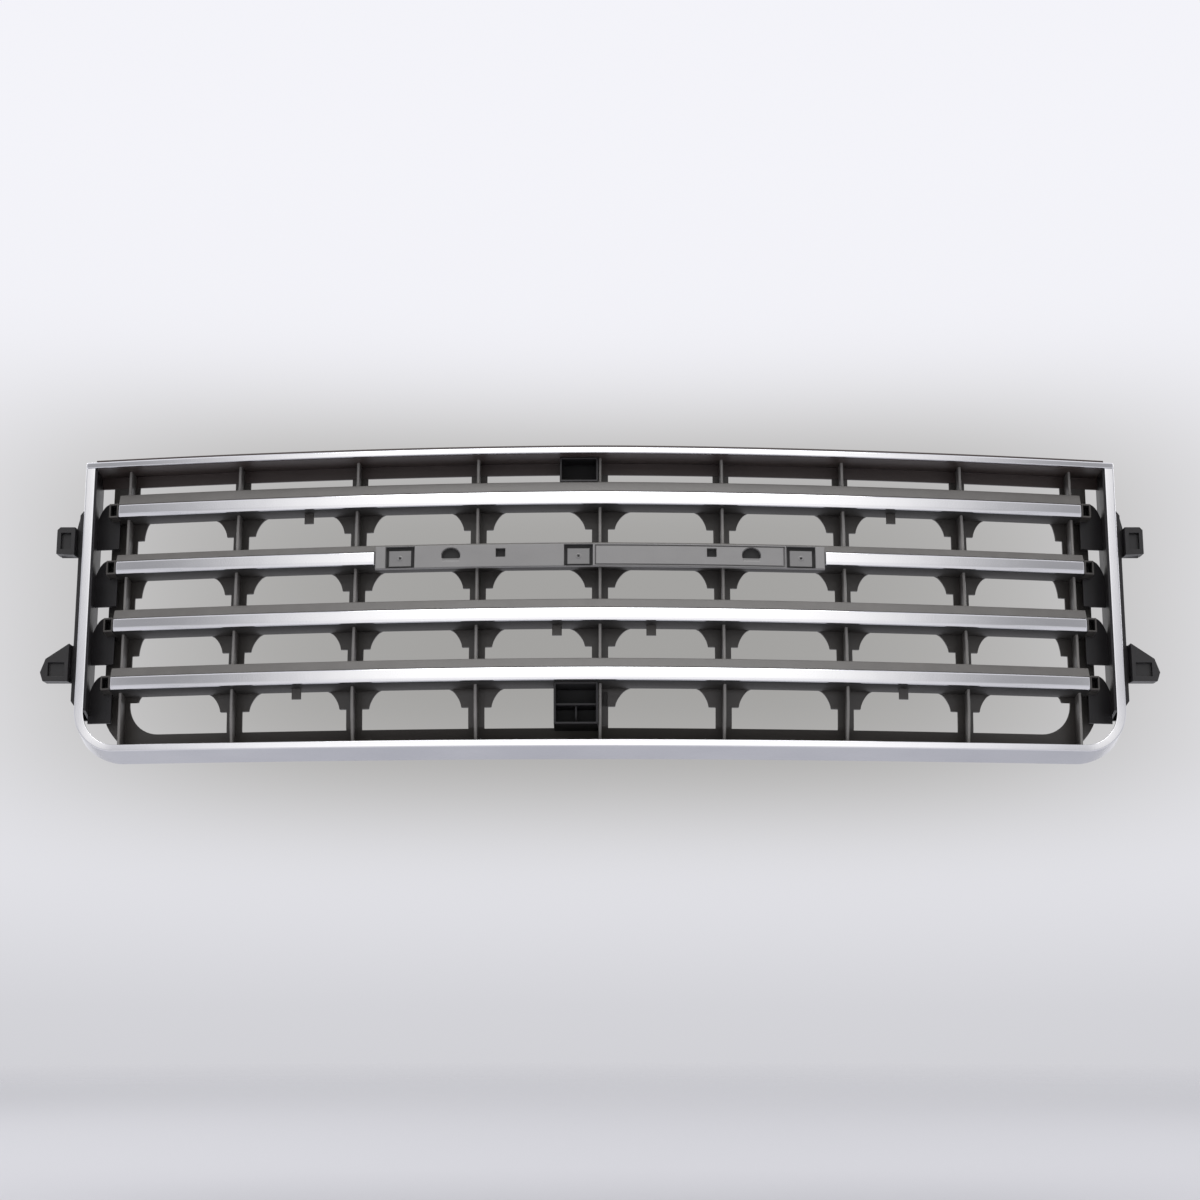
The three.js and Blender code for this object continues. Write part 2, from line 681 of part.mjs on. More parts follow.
// The thin upright wall of a rib, in one stretch for each row, which overlaps the flange behind it.
function ribStems(x) {
  const x0 = x - RIB_THICK / 2;
  const x1 = x + RIB_THICK / 2;
  const joined = WEB_FRONT + 1;
  const clear = WEB_FRONT - GAP;
  const between = BARS.slice(1).map((bar) => (
    block(x0, x1, RIB_FRONT, joined, shoulderTop(bar) + GAP, trimBottom(bar - 1) - GAP)
  ));
  const overTop = shoulderTop(1) + GAP;
  const underLast = trimBottom(BAR_COUNT) - GAP;
  return [
    block(x0, x1, RIB_FRONT, clear, overTop, CEILING - GAP),
    block(x0, x1, clear - 1, joined, overTop, WINDOW_TOP - GAP),
    ...between,
    block(x0, x1, RIB_FRONT, clear - 1, RAIL_FLOOR + WALL + 2 * GAP, underLast),
    block(x0, x1, clear - 2, joined, RAIL_TOP + 2 * GAP, underLast),
  ];
}

function middleRib(rib) {
  const x = ribX(rib);
  const head = x === 0 ? CENTRE_GUSSET_HEAD : GUSSET_HEAD;
  const right = flangeEdge(head);
  const left = right.map(([u, z]) => [-u, z]).reverse();
  const flange = plate(outline([...right, ...left].map(([u, z]) => [x + u, z])), WEB_FRONT, WEB_REAR);
  return join(flange, ...ribStems(x));
}

const END_RIB_HEAD = 20; // half width of an outermost rib's gussets

// The right-hand outermost rib.
function endRib() {
  const shift = RIB_FLANGE - END_RIB_INNER;
  const inner = flangeEdge(END_RIB_HEAD).map(([u, z]) => [shift - u, z]).slice(0, -1).reverse();
  const edges = [...outerEdge(), ...innerFoot().reverse(), ...inner];
  const shape = outline(edges.map(([u, z]) => [END_RIB_X + u, z]));
  return join(plate(shape, WEB_FRONT, WEB_REAR), ...ribStems(END_RIB_X));
}

// ---- centre boxes -----------------------------------------------------------------------------------

// A black pocket open to the front, beside the centre rib.
const BOX_FRONT = 14;
const BOX_WALL = 2;
const UPPER_BOX_WIDTH = 38;
const LOWER_BOX_WIDTH = 43;
const SHELF_FRONT = 22;

function centreBox(width, z0, z1) {
  const right = -RIB_THICK / 2 - GAP;
  const shell = block(right - width, right, BOX_FRONT, BAR_REAR, z0, z1);
  const inside = [right - width + BOX_WALL, right - BOX_WALL, BOX_FRONT - 1, BAR_REAR - BOX_WALL];
  return cut(shell, block(...inside, z0 + BOX_WALL, z1 - BOX_WALL));
}

function upperCentreBox() {
  return centreBox(UPPER_BOX_WIDTH, shoulderTop(1) + GAP, CEILING - GAP);
}

// The lower box has a shelf across its middle.
function lowerCentreBox() {
  const z0 = RAIL_TOP + GAP;
  const z1 = trimBottom(BAR_COUNT) - GAP;
  const level = (z0 + z1) / 2;
  const shelf = block(-LOWER_BOX_WIDTH, -BOX_WALL - 1, SHELF_FRONT, BAR_REAR - 1, level - 1, level + 1);
  return join(centreBox(LOWER_BOX_WIDTH, z0, z1), shelf);
}

// ---- mounting tabs ----------------------------------------------------------------------------------

const TAB_FRONT = FLANGE_REAR + GAP;
const TAB_REAR = TAB_FRONT + 3;
const SOCKET_FRONT = TAB_FRONT - 14;
const SLOT_DEPTH = 5; // of the clip slot in a socket's front
const TAB_ROOT = 522; // the inner end of a tab, behind the flange
const TAB_BOX_X = FLANGE_EDGE + FLARE * FLANGE_REAR + 1.2; // the socket starts just outside the flange
const TAB_SCREW_X = 529;
const TAB_SCREW_RADIUS = 1.6;
const TAB_SCREW_HEAD_RADIUS = 4.5;
const TAB_HOLE_RADIUS = 2;
const UPPER_TAB_SCREW_Z = 222.5;
const LOWER_TAB_SCREW_Z = 96.5;

function tabSocket(shape) {
  return straightPlate(shape, SOCKET_FRONT, TAB_REAR);
}

// The clip slot in the front of a socket.
function tabSlot(x1, z0, z1) {
  return straightBlock(TAB_BOX_X + 4, x1, SOCKET_FRONT - 1, SOCKET_FRONT + SLOT_DEPTH, z0, z1);
}

function finishTab(root, socket, slot, screwZ) {
  const hole = straightRod(TAB_SCREW_X, screwZ, TAB_HOLE_RADIUS, TAB_FRONT - 1, TAB_REAR + 1);
  return cut(join(root, socket), slot, hole);
}

// Upper right tab: a square socket with a slender gusset above it.
function upperTab() {
  const z0 = 208;
  const z1 = 237;
  const outer = 557;
  const gusset = 18;
  const root = straightPlate(outline([
    [TAB_ROOT, z0],
    [outer - 2, z0],
    [outer - 2, z1],
    [TAB_BOX_X + 2, z1],
    [TAB_BOX_X - 2, z1 + gusset],
    [TAB_ROOT, z1 + gusset],
  ]), TAB_FRONT, TAB_REAR);
  const socket = tabSocket(outline([
    [TAB_BOX_X, z0],
    [outer, z0 + 1],
    [outer, z1 - 3],
    [outer - 3, z1],
    [TAB_BOX_X, z1],
  ]));
  return finishTab(root, socket, tabSlot(outer - 4, z0 + 6, z1 - 6), UPPER_TAB_SCREW_Z);
}

// Lower right tab: an ear with a sloping upper edge.
function lowerTab() {
  const z0 = 77;
  const z1 = 116;
  const outer = 567;
  const root = straightPlate(outline([
    [TAB_ROOT, z0],
    [outer - 4, z0],
    [outer - 4, z0 + 20],
    [TAB_BOX_X, z1],
    [TAB_ROOT, z1],
  ]), TAB_FRONT, TAB_REAR);
  const socket = tabSocket(outline([
    [TAB_BOX_X, z0],
    [outer - 3, z0],
    [outer, z0 + 9],
    [outer - 5, z0 + 23],
    [TAB_BOX_X, z1],
  ]));
  return finishTab(root, socket, tabSlot(outer - 8, z0 + 5, z0 + 19), LOWER_TAB_SCREW_Z);
}

// The screw that holds a tab to the flange, head to the rear.
function addTabScrew(name, x, z) {
  const tip = TAB_FRONT + GAP;
  const screw = panHeadScrew(TAB_REAR + GAP - tip, TAB_SCREW_RADIUS, TAB_SCREW_HEAD_RADIUS);
  addPiece(name, screw, ZINC).position.set(x, tip, z);
}

// ---- assembly ---------------------------------------------------------------------------------------

function addBars() {
  for (const bar of BARS) {
    addPiece(`cross_bar_${bar}`, crossBar(bar), GREY_PLASTIC);
  }
  for (const [bar, [left, right]] of Object.entries(LOCATING_TABS)) {
    addPiece(`locating_tab_${bar}_left`, locatingTab(bar, left), GREY_PLASTIC);
    addPiece(`locating_tab_${bar}_right`, locatingTab(bar, right), GREY_PLASTIC);
  }
}

function addTrims() {
  const half = TRIM_HALF_LENGTH;
  for (const bar of BARS.filter((b) => b !== BADGE_BAR)) {
    addPiece(`bright_trim_${bar}`, brightTrim(bar, -half, half, LONG_TRIM_SCREWS), CHROME);
    LONG_TRIM_SCREWS.forEach((x, i) => addBarScrew(`trim_screw_${bar}_${i + 1}`, bar, x, TRIM_HOLE_FRONT));
  }
  const inner = BADGE_HALF_LENGTH + 3 * GAP;
  const sides = { left: -1, right: 1 };
  for (const [side, sign] of Object.entries(sides)) {
    const ends = [sign * inner, sign * half].sort((a, b) => a - b);
    const screws = SHORT_TRIM_SCREWS.map((x) => sign * x);
    addPiece(`bright_trim_${BADGE_BAR}_${side}`, brightTrim(BADGE_BAR, ...ends, screws), CHROME);
    screws.forEach((x, i) => (
      addBarScrew(`trim_screw_${BADGE_BAR}_${side}_${i + 1}`, BADGE_BAR, x, TRIM_HOLE_FRONT)
    ));
  }
}

function addBadgePlate() {
  addPiece('badge_plate', badgePlate(), PLATE_PLASTIC);
  BADGE_SCREWS.forEach((x, i) => addBarScrew(`badge_plate_screw_${i + 1}`, BADGE_BAR, x, BADGE_HOLE_FRONT));
}

function addRibs() {
  for (const rib of RIBS.slice(1, -1)) {
    addPiece(`upright_rib_${rib}`, middleRib(rib), GREY_PLASTIC);
  }
  addPiece(`upright_rib_${RIB_COUNT}`, endRib(), GREY_PLASTIC);
  addPiece('upright_rib_1', mirrored(endRib()), GREY_PLASTIC);
}

function addTabs() {
  const levels = { upper: [upperTab(), UPPER_TAB_SCREW_Z], lower: [lowerTab(), LOWER_TAB_SCREW_Z] };
  for (const [level, [tab, screwZ]] of Object.entries(levels)) {
    addPiece(`${level}_right_mount_tab`, tab, BLACK_PLASTIC);
    addPiece(`${level}_left_mount_tab`, mirrored(tab), BLACK_PLASTIC);
    addTabScrew(`${level}_right_tab_screw`, TAB_SCREW_X, screwZ);
    addTabScrew(`${level}_left_tab_screw`, -TAB_SCREW_X, screwZ);
  }
}

addPiece('surround_moulding', surroundMoulding(), CHROME);
addPiece('top_moulding', topMoulding(), CHROME);
addPiece('header_rail', headerRail(), BLACK_PLASTIC);
addPiece('bottom_rail', bottomRail(), GREY_PLASTIC);
addPiece('right_side_wall', sideWall(), BLACK_PLASTIC);
addPiece('left_side_wall', mirrored(sideWall()), BLACK_PLASTIC);
addBars();
addTrims();
addBadgePlate();
addRibs();
addPiece('upper_centre_box', upperCentreBox(), BLACK_PLASTIC);
addPiece('lower_centre_box', lowerCentreBox(), BLACK_PLASTIC);
addTabs();

const middle = new THREE.Box3().setFromObject(grille).getCenter(new THREE.Vector3());
grille.position.copy(middle.negate());

export default grille;
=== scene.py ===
# Front grille of a sport utility vehicle: the finished look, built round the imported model.
# +X is left to right seen from the front, +Y points to the rear of the vehicle and +Z is up.
# Every piece of the front is drawn flat, in millimetres: the front face lies in y = 0, the bottom edge in
# z = 0 and the centre line in x = 0. place() gives a drawing the flare and the bow of the nose and turns it
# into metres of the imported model's frame.

import math

import bmesh
import bpy
import numpy as np
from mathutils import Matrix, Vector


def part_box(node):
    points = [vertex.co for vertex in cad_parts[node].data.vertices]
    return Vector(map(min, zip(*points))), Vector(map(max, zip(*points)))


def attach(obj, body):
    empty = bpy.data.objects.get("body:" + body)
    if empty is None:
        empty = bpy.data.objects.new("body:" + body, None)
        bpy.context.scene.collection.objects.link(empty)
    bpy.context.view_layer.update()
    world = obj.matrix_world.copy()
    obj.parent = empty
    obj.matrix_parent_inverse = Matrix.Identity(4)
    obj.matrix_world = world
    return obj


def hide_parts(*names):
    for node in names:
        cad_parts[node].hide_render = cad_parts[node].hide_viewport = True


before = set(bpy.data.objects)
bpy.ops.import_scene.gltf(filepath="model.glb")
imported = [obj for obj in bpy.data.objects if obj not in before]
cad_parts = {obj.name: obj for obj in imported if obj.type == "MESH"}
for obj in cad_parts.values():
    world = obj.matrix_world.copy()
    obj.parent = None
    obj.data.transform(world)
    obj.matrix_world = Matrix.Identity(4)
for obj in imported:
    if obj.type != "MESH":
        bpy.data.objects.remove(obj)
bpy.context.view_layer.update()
MM = 0.001

# ---- driving dimensions, in millimetres ----------------------------------------------------------

GAP = 0.3  # between pieces that touch
LAP = 0.5  # how far bodies that are moulded or pressed together reach into each other
WALL = 2.5  # of the plastic mouldings
SKIN = 3.0  # of the surround

# the surround
HALF_WIDTH = 520.5
HEIGHT = 295.0
CORNER_RADIUS = 42.0
RETURN_DEPTH = 48.0
SIDE_FACE = 9.5
BOTTOM_FACE = 7.0
TOP_FACE = 6.0
FACE_SLOPE = 1.1  # the inner edge of its face lies this far behind the outer edge

# the bow of the nose
BOW_TOP = 60.0
BOW_BOTTOM = 74.0
BOW_POWER = 1.7
BOW_FIT = 0.992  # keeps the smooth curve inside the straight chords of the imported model
CHIN_HEIGHTS = [0.0, 30.0, 60.0]
CHIN_TUCKS = [30.0, 7.5, 0.0]
FLARE = 7.0 / RETURN_DEPTH
FLARE_START = 490.0

# the upright ribs
RIB_PITCH = 121.0
RIB_COUNT = 9
END_RIB_X = 478.0
RIB_THICK = 3.0
RIB_FRONT = 20.0
WEB_FRONT = 40.0
WEB_REAR = 43.0
RIB_FLANGE = 8.0
GUSSET_HEIGHT = 17.0
GUSSET_CURVE = 1.5
GUSSET_FOOT = 15.0
GUSSET_HEAD = 27.0
CENTRE_GUSSET_HEAD = 30.0

# the bars and their trims
BARS = [1, 2, 3, 4]
BAR_PITCH = 58.5
BAR_HALF_LENGTH = 496.0
BAR_FRONT = 9.0
BAR_REAR = 39.5
BAR_SHOULDERS = {1: 11.5, 2: 8.5, 3: 10.5, 4: 10.5}  # how far the shoulder rises above the trim
SHOULDER_SLOPE = 4.5
LEDGE_RISE = 0.8
LEDGE_DEPTH = 1.5
LOWEST_TRIM_TOP = 76.2
TRIM_HEIGHT = 13.2
TRIM_HALF_LENGTH = 486.0
TRIM_FRONT = 5.7

# the header, the rail and the feet of the outermost ribs
CEILING = 288.5
HEADER_LIP = 2.5
HEADER_REAR = 59.5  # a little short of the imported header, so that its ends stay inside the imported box
WINDOW_TOP = 277.0
RAIL_FLOOR = 3.4
RAIL_TOP = 26.5
FOOT_RADIUS = 30.0
FOOT_DROP = 18.0
END_RIB_INNER = 6.0
END_RIB_OUTER = 20.0
END_RIB_HEAD = 20.0
FOOT_X = END_RIB_X - END_RIB_INNER - FOOT_RADIUS

# the badge plate
BADGE_BAR = 2
BADGE_HALF_LENGTH = 220.5
BADGE_HEIGHT = 22.6
BADGE_FRONT = 4.0

# the side walls and the mounting tabs behind them
SIDE_WALL_X = 509.0
SIDE_WALL_BOTTOM = 42.0
FLANGE_FRONT = 48.5
FLANGE_REAR = 51.5
FLANGE_EDGE = 530.0
FLANGE_CHAMFER = 14.0
FLANGE_TOP = HEIGHT - 22.0
FLANGE_BEND = 20.0
TAB_REAR = FLANGE_REAR + GAP + 3.0

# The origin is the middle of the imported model's box.
SHIFT_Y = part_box("upper_left_mount_tab")[1].y / MM - TAB_REAR
SHIFT_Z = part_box("surround_moulding")[0].z / MM + FLARE * RETURN_DEPTH


# ---- shape of the nose ---------------------------------------------------------------------------

def bow(x, z):
    """How far the nose stands forward: a height that falls from bottom to top and in the chin, times one
    minus the power of the distance from the centre line."""
    across = np.clip(1 - (np.abs(x) / HALF_WIDTH) ** BOW_POWER, 0, None)
    full = BOW_BOTTOM - (BOW_BOTTOM - BOW_TOP) * z / HEIGHT
    return BOW_FIT * across * (full - np.interp(z, CHIN_HEIGHTS, CHIN_TUCKS))


def place(x, y, z, level=None):
    """The points of a flat drawing in their final place, in metres: the lower and outer walls lean outwards
    by FLARE for every millimetre of depth, and everything follows the bow, at its own height or at a
    level."""
    x, y, z = np.broadcast_arrays(*(np.asarray(v, float) for v in (x, y, z)))
    outside = np.clip((np.abs(x) - FLARE_START) / (HALF_WIDTH - FLARE_START), 0, 1)
    across = x + np.sign(x) * FLARE * y * outside
    up = z - FLARE * y * (1 - z / HEIGHT) + SHIFT_Z
    ahead = bow(x, z if level is None else level)
    return np.stack([across, y - ahead + SHIFT_Y, up], -1) * MM


def trim_top(bar):
    return LOWEST_TRIM_TOP + (len(BARS) - bar) * BAR_PITCH


def trim_bottom(bar):
    return trim_top(bar) - TRIM_HEIGHT


def shoulder_top(bar):
    return trim_top(bar) + BAR_SHOULDERS[bar]


def rib_x(rib):
    from_centre = rib - (RIB_COUNT + 1) / 2
    at_end = abs(from_centre) == (RIB_COUNT - 1) / 2
    return math.copysign(END_RIB_X, from_centre) if at_end else from_centre * RIB_PITCH


# ---- surfaces ------------------------------------------------------------------------------------

def soften(outline, radius, steps=3):
    """A closed outline with rounded corners: corner P becomes the curve (1-t)^2 A + 2t(1-t) P + t^2 B, where
    A and B lie on its two sides, a radius away or just short of the middle of the side."""
    corners = np.asarray(outline, float)
    radius = np.broadcast_to(np.asarray(radius, float), len(corners))[:, None]

    def along(side):
        length = np.linalg.norm(side, axis=1, keepdims=True)
        return corners + side / length * np.minimum(radius, 0.48 * length)

    a = along(np.roll(corners, 1, axis=0) - corners)[:, None]
    b = along(np.roll(corners, -1, axis=0) - corners)[:, None]
    t = np.linspace(0, 1, steps + 1)[None, :, None]
    return ((1 - t) ** 2 * a + 2 * t * (1 - t) * corners[:, None] + t ** 2 * b).reshape(-1, 2)


def shell(grid, relief=0.0):
    """A closed body from a grid of points: every row closes on itself, neighbouring rows are joined by
    four-sided faces, and the first and the last row are covered. Relief is painted light: 1 gives an edge a
    painted highlight and -1 gives painted shade deep in a recess."""
    rows, columns = grid.shape[:2]
    i, j = np.meshgrid(np.arange(rows - 1), np.arange(columns), indexing="ij")
    k = (j + 1) % columns
    corners = [i * columns + j, i * columns + k, (i + 1) * columns + k, (i + 1) * columns + j]
    quads = np.stack(corners, -1).reshape(-1, 4).tolist()
    last = (rows - 1) * columns
    covers = [list(range(columns))[::-1], list(range(last, last + columns))]
    return grid.reshape(-1, 3), quads + covers, np.broadcast_to(relief, (rows, columns)).ravel()


def mirrored(part):
    points, faces, relief = part
    return points * [-1, 1, 1], faces, relief


def stations(x0, x1, step=8.0):
    """Even places from x0 to x1, about a step apart."""
    return np.linspace(x0, x1, max(2, math.ceil(abs(x1 - x0) / step) + 1))


def sweep(section, x0, x1, relief=0.0):
    """A section in (y, z) carried across the width from x0 to x1."""
    y, z = np.asarray(section, float).T
    return shell(place(stations(x0, x1)[:, None], y, z), relief)


def ribbon(left, right, y0, y1, edge=0.45, relief=0.0):
    """A plate between two lines of points in (x, z), from depth y0 to y1. Its section is the rectangle
    between a left and a right point, with its four edges chamfered."""
    left, right = np.asarray(left, float), np.asarray(right, float)
    span = right - left
    length = np.linalg.norm(span, axis=1, keepdims=True)
    inward = span / length * np.minimum(edge, 0.4 * length)
    lines = [left + inward, right - inward, right, right, right - inward, left + inward, left, left]
    depths = np.array([y0, y0, y0 + edge, y1 - edge, y1, y1, y1 - edge, y0 + edge])
    points = np.stack(lines, 1)
    return shell(place(points[..., 0], depths, points[..., 1]), relief)


UPRIGHT_STEP = 15.0


def upright(x0, x1, y0, y1, z0, z1, edge=0.45, relief=0.0):
    """A ribbon that stands upright between two places across the width."""
    z = stations(z0, z1, UPRIGHT_STEP)
    return ribbon(np.stack([x0 + 0 * z, z], -1), np.stack([x1 + 0 * z, z], -1), y0, y1, edge, relief)


POCKET_RADIUS = 1.0
POCKET_RIM = 0.4


def pocket(x0, x1, z0, z1, front, floor, rear, wall):
    """A box open to the front: rounded rectangles stepped from the rear edge round the rim to the floor. Each
    step is (distance in from the outline, depth, relief); the relief paints shade on the inner walls and
    the floor."""
    def rectangle(inset):
        corners = [[x0 + inset, z0 + inset], [x1 - inset, z0 + inset], [x1 - inset, z1 - inset],
                   [x0 + inset, z1 - inset]]
        return soften(corners, max(POCKET_RADIUS - 0.5 * inset, 0.3))

    rim = POCKET_RIM
    steps = [(rim, rear, 0), (0, rear - rim, 0), (0, front + rim, 0), (rim, front, 0), (wall - rim, front, 0),
             (wall, front + rim, -0.4), (wall + 0.1, front + 3.0, -1), (wall + 0.2, floor, -1)]
    points = np.stack([rectangle(inset) for inset, *_ in steps])
    depths, relief = np.array([step[1:] for step in steps], float).T[..., None]
    return shell(place(points[..., 0], depths, points[..., 1]), relief)


SHARP_ANGLE = math.radians(42)


def make_piece(name, parts, finish, slot, *nodes):
    """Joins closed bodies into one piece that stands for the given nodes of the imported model."""
    mesh = bpy.data.meshes.new(name)
    counts = np.cumsum([0] + [len(points) for points, *_ in parts])
    faces = [[corner + start for corner in face] for (_, polygons, _), start in zip(parts, counts)
             for face in polygons]
    mesh.from_pydata(np.concatenate([points for points, *_ in parts]).tolist(), [], faces)
    # relief becomes an attribute that the finishes read as painted highlight and painted shade
    relief = np.concatenate([part[2] for part in parts]).astype(np.float32)
    mesh.attributes.new("relief", "FLOAT", "POINT").data.foreach_set("value", relief)
    turn_outwards(mesh)
    piece = bpy.data.objects.new(name, mesh)
    bpy.context.scene.collection.objects.link(piece)
    return dress(piece, finish, slot, *nodes)


def turn_outwards(mesh):
    """Makes every face of every closed body look outwards."""
    draft = bmesh.new()
    draft.from_mesh(mesh)
    bmesh.ops.recalc_face_normals(draft, faces=draft.faces)
    draft.to_mesh(mesh)
    draft.free()


def dress(piece, finish, slot, *nodes):
    """Smooth shading that keeps flat faces flat, a finish, and the piece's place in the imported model."""
    piece.data.shade_smooth()
    piece.data.set_sharp_from_angle(angle=SHARP_ANGLE)
    piece.modifiers.new("flat_faces", "WEIGHTED_NORMAL").keep_sharp = True
    piece.data.materials.clear()
    piece.data.materials.append(finish)
    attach(piece, "root")
    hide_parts(*nodes)
    return piece


# ---- finishes ------------------------------------------------------------------------------------

class Wire:
    """One output of a shader node. Sums on wires add the Math nodes that they need."""

    def __init__(self, board, socket):
        self.board = board
        self.socket = socket

    def math(self, operation, *others):
        return self.board.add("ShaderNodeMath", {"operation": operation}, dict(enumerate([self, *others])))

    def __add__(self, other):
        return self.math("ADD", other)

    def __sub__(self, other):
        return self.math("SUBTRACT", other)

    def __rsub__(self, other):
        return self.board.add("ShaderNodeMath", {"operation": "SUBTRACT"}, {0: other, 1: self})

    def __mul__(self, other):
        return self.math("MULTIPLY", other)

    def __truediv__(self, other):
        return self.math("DIVIDE", other)

    __radd__ = __add__
    __rmul__ = __mul__

    def limited(self):
        """The value kept between 0 and 1."""
        return self.board.add("ShaderNodeClamp", {}, {"Value": self})


class Board:
    """The node tree of a finish or of the surroundings."""

    def __init__(self, tree):
        self.tree = tree
        tree.nodes.clear()

    def add(self, kind, settings=None, inputs=None, output=0):
        """A node of the given type, with its settings and then the values or wires of its sockets."""
        node = self.tree.nodes.new(kind)
        for key, value in (settings or {}).items():
            if key == "stops":
                set_stops(node.color_ramp, value)
            else:
                setattr(node, key, value)
        for key, value in (inputs or {}).items():
            if isinstance(value, Wire):
                self.tree.links.new(value.socket, node.inputs[key])
            else:
                node.inputs[key].default_value = value
        return Wire(self, node.outputs[output])

    def ramp(self, value, stops):
        """A grey that runs in straight lines from stop to stop, each a (place, grey)."""
        return self.add("ShaderNodeValToRGB", {"stops": stops}, {"Fac": value})

    def blend(self, share, a, b):
        """Colour a where share is 0 and colour b where it is 1."""
        return self.add("ShaderNodeMix", {"data_type": "RGBA"}, {0: share, 6: a, 7: b}, output=2)

    def stretched(self, scale):
        """Places on the piece, scaled along each axis."""
        place_on_piece = self.add("ShaderNodeTexCoord", output="Object")
        return self.add("ShaderNodeMapping", {}, {"Vector": place_on_piece, "Scale": scale})

    def noise(self, scale, detail=3.0, roughness=0.5, vector=None):
        """Cloudy noise about 0.5, with scale features to the metre."""
        vector = vector or self.add("ShaderNodeTexCoord", output="Object")
        inputs = {"Vector": vector, "Scale": scale, "Detail": detail, "Roughness": roughness}
        return self.add("ShaderNodeTexNoise", {}, inputs, output="Fac")

    def bump(self, height, strength, distance):
        return self.add("ShaderNodeBump", {}, {"Height": height, "Strength": strength, "Distance": distance})

    def surface(self, **inputs):
        """The principled surface of the finish, with the given sockets set or wired."""
        named = {key.replace("_", " "): value for key, value in inputs.items()}
        shader = self.add("ShaderNodeBsdfPrincipled", {}, named)
        self.add_output("ShaderNodeOutputMaterial", shader)

    def add_output(self, kind, shader):
        out = self.tree.nodes.new(kind)
        self.tree.links.new(shader.socket, out.inputs["Surface"])


def set_stops(ramp, stops):
    for position, _ in stops[2:]:
        ramp.elements.new(position)
    for element, (position, grey) in zip(ramp.elements, stops):
        element.position = position
        element.color = (grey, grey, grey, 1.0)


def scaled(colour, factor):
    return tuple(factor * channel for channel in colour[:3]) + (1.0,)


def new_finish(name):
    material = bpy.data.materials.new(name)
    material.use_nodes = True
    return material, Board(material.node_tree)


def upward(board):
    """1 on faces that look up, 0 on faces that look down or to the side."""
    normal = board.add("ShaderNodeNewGeometry", output="Normal")
    return board.add("ShaderNodeSeparateXYZ", {}, {0: normal}, output="Z").limited()


def downward(board):
    """1 on faces that look down, 0 on faces that look up or to the side."""
    normal = board.add("ShaderNodeNewGeometry", output="Normal")
    return (0.0 - board.add("ShaderNodeSeparateXYZ", {}, {0: normal}, output="Z")).limited()


# darker bluish grey of the painted shade on the plating's undersides
PAINTED_UNDERSIDE_SHADE = (0.42, 0.43, 0.48, 1.0)


def plated_finish(name, colour):
    """Bright plating: almost a mirror, with the faint waviness of the moulding beneath it and wiping marks.
    What looks straight down is painted darker and bluish as painted shade, and is a little rougher."""
    material, board = new_finish(name)
    wipes = board.noise(26.0, 4.0, 0.6, board.stretched((1.0, 4.0, 4.0)))
    haze = board.noise(9.0, 2.0)
    waviness = board.noise(38.0, 1.0) * 0.8 + board.noise(900.0, 2.0) * 0.2
    # painted shade on faces that look down
    underside_shade = ((downward(board) - 0.80) / 0.15).limited()
    tone = board.blend(haze * 0.5, colour, scaled(colour, 0.93))
    tone = board.blend(underside_shade * (0.55 + haze * 0.4), tone, PAINTED_UNDERSIDE_SHADE)
    roughness = 0.055 + (wipes - 0.35).limited() * 0.16 + underside_shade * 0.08
    waves = board.bump(waviness, 0.045, 0.002)
    board.surface(Base_Color=tone, Metallic=1.0, Roughness=roughness, Normal=waves)
    return material


# near-black colour of the painted shade deep in recesses
PAINTED_RECESS_SHADE = (0.006, 0.006, 0.006, 1.0)
PLASTIC_IOR = 1.49


def moulded_finish(name, colour, dust, painted_highlight, roughness, grain):
    """Moulded plastic: fine spark grain, slow changes of gloss, a little dust on what looks up, a painted
    highlight that makes edges and shoulders pale, and painted shade that darkens the recesses."""
    material, board = new_finish(name)
    # the relief attribute paints light: where it is positive a painted highlight, where negative painted
    # shade
    relief = board.add("ShaderNodeAttribute", {"attribute_name": "relief"}, output="Fac")
    mottle = board.noise(14.0, 4.0, 0.6)
    flow = board.noise(60.0, 3.0, 0.55, board.stretched((0.25, 1.0, 1.0)))
    settled = upward(board) * board.ramp(board.noise(45.0, 5.0, 0.65), [(0.35, 0.15), (0.75, 1.0)])
    recess = (0.0 - relief).limited()
    tone = board.blend(mottle * 0.7 + flow * 0.3, scaled(colour, 0.78), scaled(colour, 1.15))
    tone = board.blend((settled * 0.35 + (mottle - 0.5).limited() * 0.12).limited(), tone, dust)
    # painted highlight: edges and shoulders blended towards a pale grey
    tone = board.blend(relief.limited() * (0.55 + 0.45 * flow), tone, painted_highlight)
    # painted shade: recesses blended towards near black
    tone = board.blend(recess * 0.9, tone, PAINTED_RECESS_SHADE)
    sparks = board.noise(1500.0, 2.0) * 0.7 + board.noise(420.0, 2.0) * 0.3
    dulled = (flow - 0.5) * 0.22 + settled * 0.12 + recess * 0.35
    board.surface(Base_Color=tone, Roughness=(roughness + dulled).limited(),
                  Normal=board.bump(sparks, grain, 0.0004), IOR=PLASTIC_IOR)
    return material


def zinc_finish():
    """Zinc plating: pale grey metal with a fine crystalline mottle."""
    material, board = new_finish("zinc_plating")
    crystals = board.noise(700.0, 4.0, 0.7)
    tone = board.blend(crystals, (0.42, 0.42, 0.40, 1.0), (0.74, 0.73, 0.68, 1.0))
    board.surface(Base_Color=tone, Metallic=1.0, Roughness=0.25 + crystals * 0.25,
                  Normal=board.bump(crystals, 0.15, 0.0003))
    return material


CHROME = plated_finish("bright_plating", (0.90, 0.90, 0.92, 1.0))
